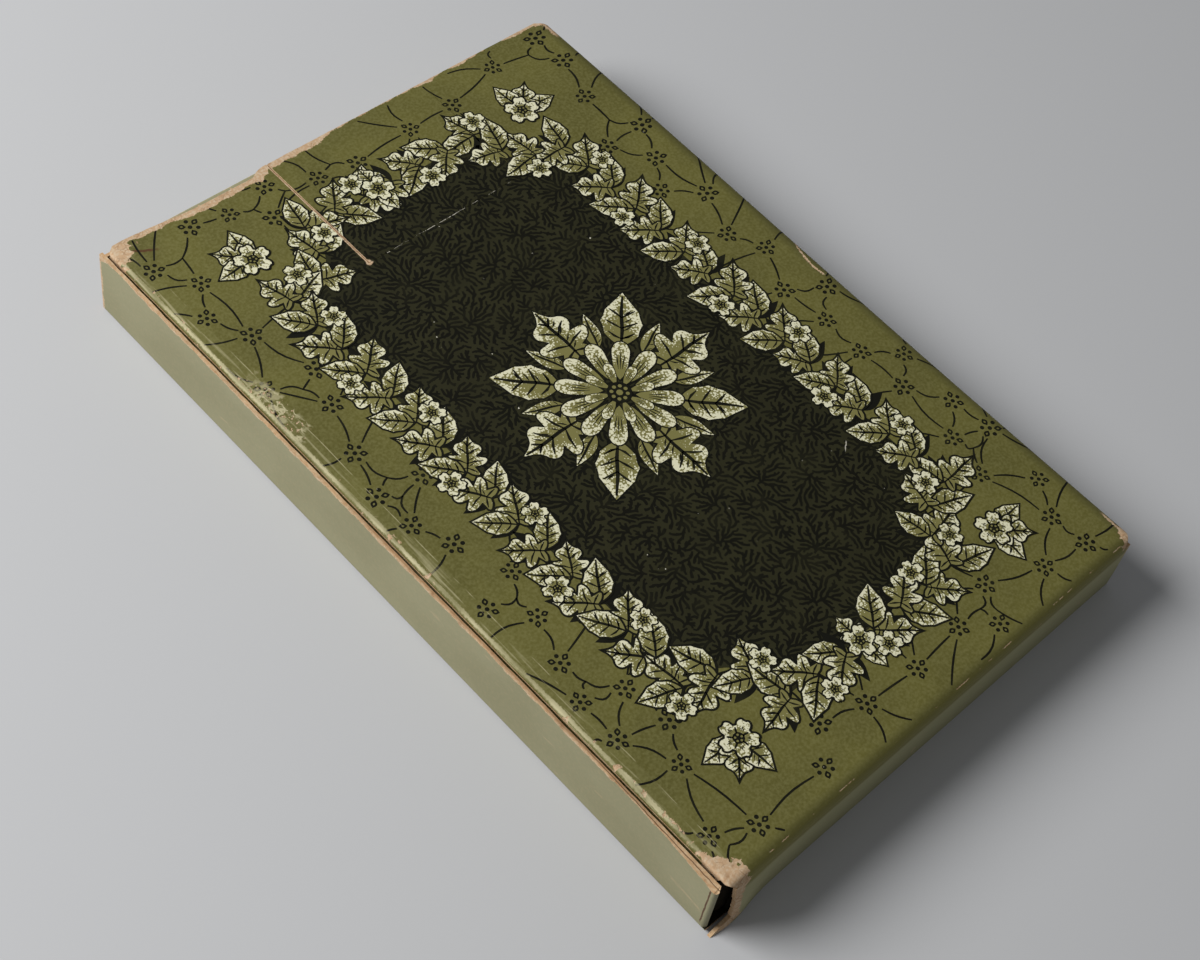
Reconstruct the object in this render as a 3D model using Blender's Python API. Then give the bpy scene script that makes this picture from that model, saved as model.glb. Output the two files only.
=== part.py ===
"""A 32-card skat deck in its folding carton, lying on its back with the printed front up.

The carton is one folded blank. Every panel between two creases is a piece of its own here, and so is
every card. +Z runs up through the front panel, +Y towards the mouth with the tuck lid, and +X towards
the wall without the glued seam. The origin is under the middle of the carton, on the table.
"""

import math

import bmesh
import bpy
from mathutils import Matrix, Vector

# Cards: the usual skat size, with rounded corners
card_count = 32
card_width = 0.0590
card_length = 0.0910
card_thickness = 0.00022
card_corner = 0.0035
card_corner_steps = 4
card_air = 0.00001

# Board of the carton
board = 0.00040
fold_round = 0.0003
fold_steps = 3
crease_gap = 0.00005
layer_gap = 0.0001

# Room around the deck
side_room = 0.0013
mouth_room = 0.0009
foot_room = 0.00035
deck_lift = 0.00005
head_room = 0.0011

# Mouth: the lid and its tuck flap, and the front panel that ends short of them
mouth_setback = 0.00040
tuck_drop = 0.00045
tuck_length = 0.0060
tuck_side_room = 0.0008
tuck_corner = 0.0040
lid_side_room = 0.0003

# Thumb tongue, cut out of the front panel by two slits from the mouth
tongue_width = 0.0220
tongue_depth = 0.0176
tongue_shift = 0.0016
slit = 0.00012

# Dust flaps behind the lid and at the foot
dust_flap_reach = 0.0240
dust_flap_taper = 0.0020
dust_flap_top_drop = 0.0009
dust_flap_foot_lift = 0.0004

# Foot end: an outer panel folded from the front, an inner one folded from the back
foot_side_room = 0.0006
inner_foot_side_room = 0.0030
inner_foot_top_gap = 0.0006

# Glued seam along the left side
seam_gap = 0.0001
seam_drop = 0.0001
glue_flap_taper = 0.0040
glue_flap_foot_gap = 0.0006

corner_steps = 6
round_share_of_board = 0.8
smooth_angle_deg = 35.0
same_line = 1e-7

# Levels and planes that the pieces share
deck_height = card_count * card_thickness + (card_count - 1) * card_air
deck_bottom = board + deck_lift
deck_top = deck_bottom + deck_height
front_under = deck_top + head_room
height = front_under + board
tuck_under = front_under - tuck_drop - board

seam_depth = board + seam_gap
width = 2 * side_room + card_width + board + seam_depth + board
right_face = width / 2
left_face = -width / 2
inside_right = right_face - board
inside_left = left_face + seam_depth + board
deck_middle = (inside_right + inside_left) / 2

foot_layers = 3 * board + 2 * layer_gap
mouth_layers = 2 * board + layer_gap
length = foot_layers + foot_room + card_length + mouth_room + mouth_layers
mouth_face = length / 2
foot_face = -length / 2
lid_inside = mouth_face - board
mouth_dust_face = lid_inside - layer_gap
inner_foot_face = foot_face + board + layer_gap
foot_dust_face = inner_foot_face + board + layer_gap
front_edge = mouth_face - mouth_setback
deck_foot = foot_face + foot_layers + foot_room
tongue_crease = front_edge - tongue_depth

# Colours of the printed board, the bare board and the cards
olive = (0.160, 0.150, 0.050)
sage = (0.300, 0.300, 0.190)
kraft = (0.640, 0.430, 0.260)
ivory = (0.800, 0.770, 0.660)
board_roughness = 0.70
card_roughness = 0.45


def finish(name, colour, roughness):
    material = bpy.data.materials.new(name)
    material.use_nodes = True
    shader = material.node_tree.nodes["Principled BSDF"]
    shader.inputs["Base Color"].default_value = (*colour, 1.0)
    shader.inputs["Roughness"].default_value = roughness
    shader.inputs["Metallic"].default_value = 0.0
    return material


def pivot(name, place, parent=None):
    """An empty at a world place, which carries the pieces that move with it."""
    empty = bpy.data.objects.new(name, None)
    empty.empty_display_size = card_corner
    bpy.context.collection.objects.link(empty)
    empty.parent = parent
    above = parent.matrix_world.translation if parent else Vector()
    empty.location = Vector(place) - above
    bpy.context.view_layer.update()
    return empty


def facing(start, across, along):
    """The flat frame of a board: its outline runs across and along from start, its printed side faces out."""
    u = Vector(across)
    v = Vector(along)
    frame = Matrix.Identity(4)
    for column, direction in enumerate((u, v, u.cross(v), Vector(start))):
        for row in range(3):
            frame[row][column] = direction[row]
    return frame


def outline_prism(corners, thickness, rounds, steps, folds):
    """A flat outline made solid inwards. rounds gives corners a radius, folds names sides rounded outside."""
    bm = bmesh.new()
    verts = [bm.verts.new((u, v, 0.0)) for u, v in corners]
    bm.faces.new(verts)
    bm.normal_update()
    sides = [(verts[i].co.copy(), verts[(i + 1) % len(verts)].co.copy()) for i in folds]
    for index, radius in rounds.items():
        bmesh.ops.bevel(
            bm,
            geom=[verts[index]],
            offset=radius,
            offset_type="OFFSET",
            segments=steps,
            profile=0.5,
            affect="VERTICES",
        )
    outer = bm.faces[:]
    grown = bmesh.ops.extrude_face_region(bm, geom=outer)
    moved = [item for item in grown["geom"] if isinstance(item, bmesh.types.BMVert)]
    bmesh.ops.translate(bm, verts=moved, vec=(0.0, 0.0, -thickness))
    bmesh.ops.recalc_face_normals(bm, faces=bm.faces[:])
    round_off = min(fold_round, round_share_of_board * thickness)
    for start, end in sides:
        middle = (start + end) / 2
        direction = (end - start).normalized()
        edges = [
            edge
            for edge in bm.edges
            if all(abs(vert.co.z) < same_line for vert in edge.verts)
            and all((vert.co - middle).cross(direction).length < same_line for vert in edge.verts)
        ]
        bmesh.ops.bevel(
            bm,
            geom=edges,
            offset=round_off,
            offset_type="OFFSET",
            segments=fold_steps,
            profile=0.5,
            affect="EDGES",
        )
    return bm


def board_piece(name, corners, frame, colour, parent, rounds=None, folds=()):
    """One panel of the carton, cut to its outline, one board thick, carried by its parent."""
    bm = outline_prism(corners, board, rounds or {}, corner_steps, folds)
    bmesh.ops.transform(bm, matrix=frame, verts=bm.verts[:])
    carried = Matrix.Translation(-parent.matrix_world.translation)
    bmesh.ops.transform(bm, matrix=carried, verts=bm.verts[:])
    mesh = bpy.data.meshes.new(name)
    bm.to_mesh(mesh)
    bm.free()
    piece = bpy.data.objects.new(name, mesh)
    bpy.context.collection.objects.link(piece)
    piece.parent = parent
    mesh.materials.append(finish(name, colour, board_roughness))
    mesh.shade_smooth()
    mesh.set_sharp_from_angle(angle=math.radians(smooth_angle_deg))
    return piece


def rectangle(low_u, low_v, high_u, high_v):
    return [(low_u, low_v), (high_u, low_v), (high_u, high_v), (low_u, high_v)]


def make_front(carton, tongue_axis):
    """The printed front panel, notched by the thumb tongue, and the tongue itself."""
    left = left_face + seam_depth
    half = tongue_width / 2
    slit_left = tongue_shift - half
    slit_right = tongue_shift + half
    top = facing((0.0, 0.0, height), (1.0, 0.0, 0.0), (0.0, 1.0, 0.0))
    corners = [
        (left, foot_face),
        (right_face, foot_face),
        (right_face, front_edge),
        (slit_right + slit, front_edge),
        (slit_right + slit, tongue_crease - crease_gap),
        (slit_left - slit, tongue_crease - crease_gap),
        (slit_left - slit, front_edge),
        (left, front_edge),
    ]
    board_piece("front_panel", corners, top, olive, carton, folds=(0, 1, 7))
    flap = rectangle(slit_left, tongue_crease, slit_right, front_edge)
    board_piece("thumb_tongue", flap, top, olive, tongue_axis)


def make_back(carton):
    """The back panel, which lies on the table and owns both long bottom folds."""
    under = facing((0.0, 0.0, 0.0), (-1.0, 0.0, 0.0), (0.0, 1.0, 0.0))
    foot = inner_foot_face
    corners = rectangle(left_face, foot, right_face, lid_inside - crease_gap)
    board_piece("back_panel", corners, under, sage, carton, folds=(0, 1, 3))


def make_walls(carton):
    """The right wall between two folds, and the left wall over its glue flap."""
    foot = foot_dust_face
    mouth = mouth_dust_face
    floor = board + crease_gap
    right = facing((right_face, 0.0, 0.0), (0.0, 1.0, 0.0), (0.0, 0.0, 1.0))
    corners = rectangle(foot, floor, mouth, front_under - crease_gap)
    board_piece("right_wall", corners, right, sage, carton, folds=(1, 3))

    left = facing((left_face, 0.0, 0.0), (0.0, -1.0, 0.0), (0.0, 0.0, 1.0))
    corners = rectangle(-mouth, floor, -foot, height - seam_drop)
    board_piece("left_wall", corners, left, sage, carton, folds=(1, 3))

    seam = facing((left_face + seam_depth, 0.0, 0.0), (0.0, -1.0, 0.0), (0.0, 0.0, 1.0))
    low = floor + glue_flap_foot_gap
    high = front_under - crease_gap
    mouth_end = -(mouth - board - layer_gap)
    foot_end = -(foot + board + layer_gap)
    corners = [
        (mouth_end + glue_flap_taper, low),
        (foot_end - glue_flap_taper, low),
        (foot_end, high),
        (mouth_end, high),
    ]
    board_piece("glue_flap", corners, seam, kraft, carton)


def make_lid(lid_axis, tuck_axis):
    """The lid, which turns on the back panel's mouth edge, and the tuck flap on its top crease."""
    half = width / 2 - lid_side_room
    out = facing((0.0, mouth_face, 0.0), (-1.0, 0.0, 0.0), (0.0, 0.0, 1.0))
    corners = rectangle(-half, 0.0, half, tuck_under - crease_gap)
    board_piece("lid_panel", corners, out, sage, lid_axis, folds=(0,))

    top = facing((0.0, 0.0, tuck_under + board), (1.0, 0.0, 0.0), (0.0, 1.0, 0.0))
    low = inside_left + tuck_side_room
    high = inside_right - tuck_side_room
    corners = rectangle(low, mouth_face - tuck_length, high, mouth_face)
    rounds = {0: tuck_corner, 1: tuck_corner}
    board_piece("tuck_flap", corners, top, sage, tuck_axis, rounds=rounds, folds=(2,))


def dust_flap(name, side, outer_face, outward, low, high, carton):
    """A dust flap folded in from one wall. Its free end tapers, its root stands against that wall."""
    root = inside_right if side > 0 else left_face + board
    root = root - side * crease_gap
    tip = root - side * dust_flap_reach
    frame = facing((0.0, outer_face, 0.0), (-outward, 0.0, 0.0), (0.0, 0.0, 1.0))
    corners = [(root, low), (root, high), (tip, high - dust_flap_taper), (tip, low + dust_flap_taper)]
    corners = [(-outward * x, z) for x, z in corners]
    if side * outward < 0:
        corners.reverse()
    board_piece(name, corners, frame, sage, carton)


def make_dust_flaps(carton):
    low = board + dust_flap_foot_lift
    mouth_top = deck_top - dust_flap_top_drop
    foot_top = front_under - dust_flap_foot_lift
    for side, word in ((1, "right"), (-1, "left")):
        dust_flap(f"lid_dust_flap_{word}", side, mouth_dust_face, 1, low, mouth_top, carton)
        dust_flap(f"bottom_dust_flap_{word}", side, foot_dust_face, -1, low, foot_top, carton)


def make_foot(carton):
    """The closed foot end: the outer panel hangs from the front, the inner flap stands on the back."""
    out = facing((0.0, foot_face, 0.0), (1.0, 0.0, 0.0), (0.0, 0.0, 1.0))
    half = width / 2 - foot_side_room
    corners = rectangle(-half, 0.0, half, front_under - crease_gap)
    board_piece("bottom_outer_panel", corners, out, sage, carton)

    behind = facing((0.0, inner_foot_face, 0.0), (1.0, 0.0, 0.0), (0.0, 0.0, 1.0))
    half = width / 2 - inner_foot_side_room
    corners = rectangle(-half, board + crease_gap, half, front_under - inner_foot_top_gap)
    board_piece("bottom_inner_flap", corners, behind, sage, carton)


def make_cards(deck):
    """The stack of cards, each its own piece, with a breath of air between neighbours."""
    half_width = card_width / 2
    half_length = card_length / 2
    corners = rectangle(-half_width, -half_length, half_width, half_length)
    rounds = {index: card_corner for index in range(4)}
    bm = outline_prism(corners, card_thickness, rounds, card_corner_steps, ())
    mesh = bpy.data.meshes.new("card")
    bm.to_mesh(mesh)
    bm.free()
    mesh.materials.append(finish("card_stock", ivory, card_roughness))
    for number in range(card_count):
        card = bpy.data.objects.new(f"card_{number + 1:02d}", mesh)
        bpy.context.collection.objects.link(card)
        card.parent = deck
        card.location.z = number * (card_thickness + card_air) + card_thickness


def main():
    for old in list(bpy.data.objects):
        bpy.data.objects.remove(old)
    carton = pivot("carton", (0.0, 0.0, 0.0))
    lid_axis = pivot("lid_axis", (0.0, mouth_face, 0.0), carton)
    tuck_axis = pivot("tuck_axis", (0.0, lid_inside, tuck_under), lid_axis)
    tongue_axis = pivot("tongue_axis", (tongue_shift, tongue_crease, height), carton)
    deck = pivot("deck", (deck_middle, deck_foot + card_length / 2, deck_bottom), carton)
    make_front(carton, tongue_axis)
    make_back(carton)
    make_walls(carton)
    make_lid(lid_axis, tuck_axis)
    make_dust_flaps(carton)
    make_foot(carton)
    make_cards(deck)
    bpy.context.view_layer.update()
    print(f"carton {width * 1e3:.2f} x {length * 1e3:.2f} x {height * 1e3:.2f} mm")
    print(f"lid axis at y {mouth_face:.6f}, z 0")
    print(f"tuck axis at y {lid_inside:.6f}, z {tuck_under:.6f}")
    print(f"tongue axis at y {tongue_crease:.6f}, z {height:.6f}")


main()
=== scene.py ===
import math
import random

import bmesh
import bpy
from mathutils import Matrix, Quaternion, Vector, noise
from mathutils.geometry import delaunay_2d_cdt


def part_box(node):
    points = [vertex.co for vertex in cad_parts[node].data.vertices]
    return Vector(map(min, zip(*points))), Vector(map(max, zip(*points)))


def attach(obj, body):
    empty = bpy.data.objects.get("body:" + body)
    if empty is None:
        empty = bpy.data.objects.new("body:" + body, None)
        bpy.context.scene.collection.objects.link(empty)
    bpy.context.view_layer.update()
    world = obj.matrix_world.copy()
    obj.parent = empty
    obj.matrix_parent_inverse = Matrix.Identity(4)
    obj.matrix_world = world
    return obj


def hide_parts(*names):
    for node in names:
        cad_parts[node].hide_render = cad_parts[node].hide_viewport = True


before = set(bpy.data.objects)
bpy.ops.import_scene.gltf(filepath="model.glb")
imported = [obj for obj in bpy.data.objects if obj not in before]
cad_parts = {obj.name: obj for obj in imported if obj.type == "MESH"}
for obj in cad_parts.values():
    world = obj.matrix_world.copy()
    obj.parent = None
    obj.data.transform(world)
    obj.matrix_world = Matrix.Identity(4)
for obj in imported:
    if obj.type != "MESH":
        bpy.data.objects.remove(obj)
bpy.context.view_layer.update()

scene = bpy.context.scene
mm = 0.001
board = 0.40    # thickness of the carton board, in millimetres as all lengths below
quarterTurn = math.pi / 2
fullTurn = math.pi * 2
anyTurn = (0.0, 6.28)    # range that a free turn is drawn from
rollExtra = quarterTurn - 1.0    # board that a rolled fold takes beyond its radius, for a radius of 1
print("frame loaded, nodes:", len(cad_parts))


def boxMm(node):
    low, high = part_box(node)
    return low / mm, high / mm


def link(name, data):
    made = bpy.data.objects.new(name, data)
    scene.collection.objects.link(made)
    return made


frontLow, frontHigh = boxMm("front_panel")
tongueLow, tongueHigh = boxMm("thumb_tongue")
topLevel = frontHigh.z

# camera, fitted to the carton's edges
cameraSettings = {
    "place": (-109.176, -77.028, 176.745),
    "aim": (-5.183, -9.949, 9.300),
    "turn": 16.014, "lens": 61.011, "sensor": 36.0, "shift": -0.0400, "clip": (0.01, 20.0),
}


def makeCamera(s):
    data = bpy.data.cameras.new("camera")
    data.sensor_fit = "HORIZONTAL"
    data.sensor_width = s["sensor"]
    data.lens = s["lens"]
    data.shift_x = s["shift"]
    data.clip_start, data.clip_end = s["clip"]
    camera = link("camera", data)
    place = Vector(s["place"]) * mm
    gaze = (Vector(s["aim"]) * mm - place).to_track_quat("-Z", "Y")
    camera.location = place
    camera.rotation_mode = "QUATERNION"
    camera.rotation_quaternion = gaze @ Quaternion((0.0, 0.0, 1.0), math.radians(s["turn"]))
    scene.camera = camera


makeCamera(cameraSettings)


class Wire:
    # a shader socket that takes part in sums
    def __init__(self, tree, socket):
        self.tree = tree
        self.socket = socket

    def node(self, kind, settings, values, out=0):
        made = self.tree.nodes.new(kind)
        for key, value in settings.items():
            setattr(made, key, value)
        for key, value in values.items():
            if isinstance(value, Wire):
                self.tree.links.new(value.socket, made.inputs[key])
            else:
                made.inputs[key].default_value = value
        return Wire(self.tree, made.outputs[out])

    def maths(self, operation, *terms):
        return self.node("ShaderNodeMath", {"operation": operation}, dict(enumerate(terms)))

    def __add__(self, other):
        return self.maths("ADD", self, other)

    def __sub__(self, other):
        return self.maths("SUBTRACT", self, other)

    def __rsub__(self, other):
        return self.maths("SUBTRACT", other, self)

    def __mul__(self, other):
        return self.maths("MULTIPLY", self, other)

    __radd__ = __add__
    __rmul__ = __mul__

    def __abs__(self):
        return self.maths("ABSOLUTE", self)

    def root(self):
        return self.maths("SQRT", self)

    def least(self, other):
        return self.maths("MINIMUM", self, other)

    def most(self, *others):
        top = self
        for other in others:
            top = self.maths("MAXIMUM", top, other)
        return top

    def step(self, low, high):
        # 0 below low, 1 above high, eased between; low may be the larger one
        if low > high:
            return 1.0 - self.step(high, low)
        settings = {"interpolation_type": "SMOOTHSTEP"}
        return self.node("ShaderNodeMapRange", settings, {0: self, 1: low, 2: high})

    def between(self, start, full, narrows, end):
        # rises from start to full, and falls from narrows to end
        return self.step(start, full) * self.step(end, narrows)


class Finish:
    # one material, with the place on the object in millimetres
    def __init__(self, name):
        self.material = bpy.data.materials.new(name)
        self.material.use_nodes = True
        tree = self.material.node_tree
        self.shader = tree.nodes["Principled BSDF"]
        coords = Wire(tree, tree.nodes.new("ShaderNodeTexCoord").outputs["Object"])
        values = {0: coords, "Scale": 1.0 / mm}
        self.place = coords.node("ShaderNodeVectorMath", {"operation": "SCALE"}, values)
        self.x, self.y, self.z = self.parts(self.place, 3)

    def parts(self, vector, count):
        return [vector.node("ShaderNodeSeparateXYZ", {}, {0: vector}, out) for out in range(count)]

    def grain(self, scale, detail=2.0, stretch=None):
        place = self.place
        if stretch:
            place = place.node("ShaderNodeVectorMath", {"operation": "MULTIPLY"}, {0: place, 1: stretch})
        return place.node("ShaderNodeTexNoise", {}, {"Vector": place, "Scale": scale, "Detail": detail})

    def ripple(self, *recipe):
        # grain to both sides of zero
        return self.grain(*recipe) - 0.5

    def cells(self, scale, feature="F1"):
        values = {"Vector": self.place, "Scale": scale}
        return self.place.node("ShaderNodeTexVoronoi", {"feature": feature}, values)

    def mix(self, factor, first, second):
        # each side is a colour that was mixed before, or the name of a tone
        first, second = (one if isinstance(one, Wire) else (*tones[one], 1.0) for one in (first, second))
        return self.place.node("ShaderNodeMix", {"data_type": "RGBA"}, {0: factor, 6: first, 7: second}, 2)

    def near(self, point, stretch=(1.0, 1.0)):
        # distance from a point of the plan, stretched along each axis
        dx = (self.x - point[0]) * stretch[0]
        dy = (self.y - point[1]) * stretch[1]
        return (dx * dx + dy * dy).root()

    def put(self, socket, value):
        target = self.shader.inputs[socket]
        if isinstance(value, Wire):
            value.tree.links.new(value.socket, target)
        else:
            target.default_value = value

    def coat(self, colour, roughness, specular):
        self.put("Base Color", colour)
        self.put("Roughness", roughness)
        self.put("Specular IOR Level", specular)

    def bump(self, height, strength, distance):
        values = {"Height": height, "Strength": strength, "Distance": distance}
        self.put("Normal", height.node("ShaderNodeBump", {}, values))


# colours of the print and of the bare board, and the painted shade and painted light, linear
tones = {
    "olive": (0.106, 0.097, 0.0205),
    "oliveDeep": (0.086, 0.0785, 0.0165),
    # lighter olive: random rubbed patches, and the painted sheen beside the left fold
    "oliveRubAndSheen": (0.225, 0.214, 0.085),
    # painted shade along the right and foot folds
    "paintedFoldShade": (0.074, 0.069, 0.0185),
    "sage": (0.250, 0.237, 0.138),
    "sageDeep": (0.219, 0.207, 0.116),
    # painted light: lighter copies of the sage board and of the olive print, for the shaded end face and the
    # foot roll
    "sageEndWithPaintedLight": (0.318, 0.306, 0.160),
    "oliveEndWithPaintedLight": (0.178, 0.163, 0.040),
    "kraft": (0.440, 0.272, 0.140),
    "kraftDeep": (0.240, 0.125, 0.055),
    "fibre": (0.515, 0.372, 0.225),
    "torn": (0.450, 0.300, 0.176),
    "tornDeep": (0.300, 0.172, 0.086),
    "tornPale": (0.520, 0.402, 0.272),
    "crack": (0.080, 0.036, 0.013),
    # painted shade: near black, for faces deep in the torn corner
    "paintedShade": (0.020, 0.015, 0.010),
    "rubbed": (0.590, 0.535, 0.330),
    "ink": (0.0050, 0.0050, 0.0026),
    "inkSpray": (0.0042, 0.0041, 0.0016),
    "inkField": (0.0218, 0.0211, 0.0083),
    "flake": (0.560, 0.530, 0.440),
    "pale": (0.630, 0.610, 0.430),
    "paleMid": (0.168, 0.155, 0.052),
    "card": (0.780, 0.740, 0.620),
    "cardEdge": (0.700, 0.650, 0.520),
}

# front panel: rolled over three folds, slit for the tongue; each blunted corner has its inset and the way
# its cut faces
frontSettings = {
    "step": 0.80, "slit": 0.13, "slitClose": 0.09, "crease": 0.05,
    "rollFoot": 0.95, "rollRight": 1.00, "rollLeft": 0.45, "seamGap": 0.17,
    "mouthBite": 0.09, "bitePitch": 0.9, "biteSeed": 3.1, "tongueSeed": 5.7,
    "mouthRecede": 0.74, "recedeFrom": -29.0, "recedeFull": -18.0, "recedeEnd": 1.0, "recedeNarrow": 2.4,
    "sag": 0.16, "sagReach": 2.6,
    "flare": 0.85, "flareFrom": -30.0, "flareAcross": (26.0, 31.0), "flareUp": (0.0, 8.0),
    "blunt": {
        "footRight": ((-0.54, 0.81), (0.7, -0.7)),
        "footLeft": ((0.46, 0.34), (-0.7, -0.7)),
        "mouthLeft": ((0.65, -0.45), (-0.6, 0.8)),
        "mouthRight": ((-1.6, 0.0), (0.59, 0.81)),
    },
}

# wear of the printed front, and the painted shade and painted light on its folds; each bare stretch of the
# mouth edge has where it starts, is full, begins to narrow and ends, and its width; each bare corner has its
# place, reach and stretch
frontWear = {
    "mouthBand": 0.10,
    "mouthBare": (
        (-34.0, -33.0, -9.8, -9.6, 0.60),
        (-12.2, -11.2, -10.2, -9.7, 0.70),
        (-9.8, -9.6, -4.0, 1.5, 0.72),
        (11.4, 12.6, 13.8, 15.0, 0.32),
        (16.8, 17.9, 19.1, 20.2, 0.34),
        (24.5, 28.5, 33.0, 34.0, 0.28),
    ),
    "patches": (
        ((-31.2, 47.2), 3.5, (1.0, 1.0)),
        ((31.85, 47.1), 1.4, (1.0, 1.0)),
        ((31.6, -47.4), 2.2, (1.0, 1.0)),
        ((-30.8, -47.4), 4.3, (1.6, 1.0)),
    ),
    "footLine": 0.42,
    "splitIn": 1.24, "splitMiddle": -0.45, "splitBow": 0.06, "splitSpan": (-2.1, -1.7, 3.3, 3.7),
    "mouthRightIn": (1.05, 0.92), "mouthRightFrom": (43.2, 44.2),
    "footRightIn": 0.72, "footRightFrom": (-42.6, -43.4),
    "foldChips": 0.50, "slitRub": 0.12, "slitRubFrom": (29.2, 29.6),
    # painted shade: darker olive inside the right fold and towards the foot fold
    "paintedFoldShade": (0.45, 0.85, 1.0, 1.9), "paintedFootShade": (1.7, 0.9),
    # painted light: where the print over the foot roll is painted in the lighter end olive
    "footRoll": (1.2, 0.5), "rollDrop": (0.06, 0.36),
    "stripIn": 0.48, "pressedIn": 2.2, "scuffAt": 20.0, "scuffLeft": 1.55,
    "scratchAt": (14.8, -19.8), "scratchSlope": 0.9,
    "crackFrom": (-28.9, 45.1), "crackSlope": -0.49, "crackLong": 3.2, "crackFade": 1.4,
    "creaseUnder": 0.06, "creaseMiddle": 1.6, "creaseHalf": (9.6, 9.0), "creaseWhole": 1.5,
}


def ease(value, low, high):
    # the same soft step for a number and for a shader value
    if isinstance(value, Wire):
        return value.step(low, high)
    share = min(1.0, max(0.0, (value - low) / (high - low)))
    return share * share * (3.0 - 2.0 * share)


def flareAt(place):
    # the right wall bulges towards the mouth
    s = frontSettings
    along = ease(place.y, s["flareFrom"], frontHigh.y)
    return s["flare"] * along * ease(place.x, *s["flareAcross"]) * ease(place.z, *s["flareUp"])


def recedeAt(x):
    # how far the mouth edge is worn back, left of the slit
    s = frontSettings
    slot = tongueLow.x - s["slit"]
    stop = ease(x, slot - s["recedeEnd"], slot - s["recedeNarrow"])
    return ease(x, s["recedeFrom"], s["recedeFull"]) * stop * s["mouthRecede"]


def fromLeft(f):
    return f.x - frontLow.x - frontSettings["seamGap"]


def fromRight(f):
    return frontHigh.x + flareAt(f) - f.x


def frontBare(f):
    # 1 where the print is rubbed or torn off the front
    s = frontWear
    wide, rough, fine = f.ripple(0.5, 6.0), f.ripple(1.5, 5.0), f.ripple(5.0, 2.0)
    band = recedeAt(f.x) + s["mouthBand"]
    for *span, width in s["mouthBare"]:
        band = band + f.x.between(*span) * width
    bare = (band + wide * 1.1 + fine * 0.3 - frontHigh.y + f.y).step(0.0, 0.10)
    crumbs = (f.cells(1.25) - 0.45) * 1.5
    for place, reach, stretch in s["patches"]:
        torn = reach + wide * 2.4 + fine * 0.9 + crumbs * min(1.0, reach / 3.0)
        bare = bare.most((torn - f.near(place, stretch)).step(0.0, 0.16))
    footLine = abs(f.y - frontLow.y - s["footLine"] - fine * 0.14).step(0.06, 0.02)
    footLine = footLine * (f.grain(0.7, 4.0) + f.x.step(-10.0, 28.0) * 0.10).step(0.59, 0.66)
    right = fromRight(f) + fine * 0.5
    bow = f.y - s["splitMiddle"]
    split = abs(right - s["splitIn"] + bow * bow * s["splitBow"] + rough * 0.3).step(0.14, 0.07)
    split = split * f.y.between(*s["splitSpan"])
    mouthRight = (right + rough * 0.5).step(*s["mouthRightIn"]) * f.y.step(*s["mouthRightFrom"])
    footRight = abs(right - s["footRightIn"] + rough * 0.3).step(0.20, 0.12) * f.y.step(*s["footRightFrom"])
    foldChips = (f.grain(0.75, 4.0) + f.y.step(-24.0, -38.0) * 0.02).step(0.63, 0.67)
    foldChips = foldChips * (abs(fromLeft(f) - s["foldChips"]) + fine * 0.5).step(0.42, 0.28)
    slitRub = abs(f.x - tongueLow.x + s["slitRub"] + fine * 0.12).step(0.19, 0.12)
    slitRub = slitRub * f.y.step(*s["slitRubFrom"])
    slitEnd = (f.near((tongueLow.x, tongueLow.y)) + rough * 0.8).step(0.42, 0.30)
    flakes = scuffZone(f) * f.grain(2.6, 4.0).step(0.60, 0.65)
    return bare.most(footLine, split, mouthRight, footRight, foldChips, slitRub, slitEnd, flakes)


def scuffZone(f):
    # one crumpled spot beside the left fold
    s = frontWear
    frayed = f.ripple(0.6, 4.0) * 3.0
    along = (abs(f.y - s["scuffAt"]) + frayed * 2.0).step(5.0, 3.0)
    return along * (abs(fromLeft(f) - s["scuffLeft"]) + frayed * 0.5).step(1.3, 0.8)


def frontRub(f):
    # pale where the ink is polished thin: a line on the left fold, streaks beside it, the crumpled spot
    s = frontWear
    left = fromLeft(f)
    wander, fine = f.ripple(0.11, 3.0), f.ripple(4.0, 3.0)
    half = f.grain(0.13, 2.0).step(0.48, 0.66) * 0.12 + 0.26
    strip = (half + fine * 0.30 - abs(left - s["stripIn"] - wander * 0.35)).step(0.0, 0.18)
    worn = f.grain(0.55, 4.0, (1.0, 0.3, 1.0)).step(0.34, 0.62) * 0.46 + 0.22
    streaks = f.grain(2.6, 3.0, (1.0, 0.05, 1.0)).step(0.53, 0.68) * left.step(2.5, 0.7) * 0.36
    pressed = abs(left - s["pressedIn"] - wander * 0.4).step(0.07, 0.02)
    pressed = pressed * f.grain(1.0, 3.0, (1.0, 0.3, 1.0)).step(0.46, 0.60) * 0.40
    ridges = abs(f.ripple(0.8, 5.0, (1.0, 0.7, 1.0))).step(0.045, 0.012)
    crumple = ridges.most(f.grain(1.0, 5.0).step(0.49, 0.60) * 0.60)
    return (strip * worn).most(streaks, pressed, scuffZone(f) * crumple * 0.62)


def tornColour(f):
    # bare board where the printed skin came off
    pulp = f.mix(f.grain(3.2, 4.0).step(0.38, 0.70), "torn", "tornPale")
    pulp = f.mix(f.grain(1.1, 4.0).step(0.54, 0.76) * 0.8, pulp, "tornDeep")
    cracks = f.cells(1.3, "DISTANCE_TO_EDGE").step(0.07, 0.02) * f.grain(0.8, 2.0).step(0.46, 0.60)
    return f.mix(cracks * 0.5, pulp, "kraftDeep")


def paperGrain(f):
    return f.grain(9.0, 3.0) * 0.6 + f.grain(2.2, 3.0) * 0.4


# bare board; the left wall's top edge is split along its middle towards the foot, and darker on its inside
kraftWear = {
    "splitFrom": -34.0, "splitSlope": 0.022, "splitAt": -31.28, "splitAlong": (-22.0, -36.0),
    "topUp": (8.7, 8.8), "topLeft": (-30.9, -31.05),
    "inner": (-31.38, -31.22), "innerSpan": (-42.0, -34.0, 0.0, 12.0),
}


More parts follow.
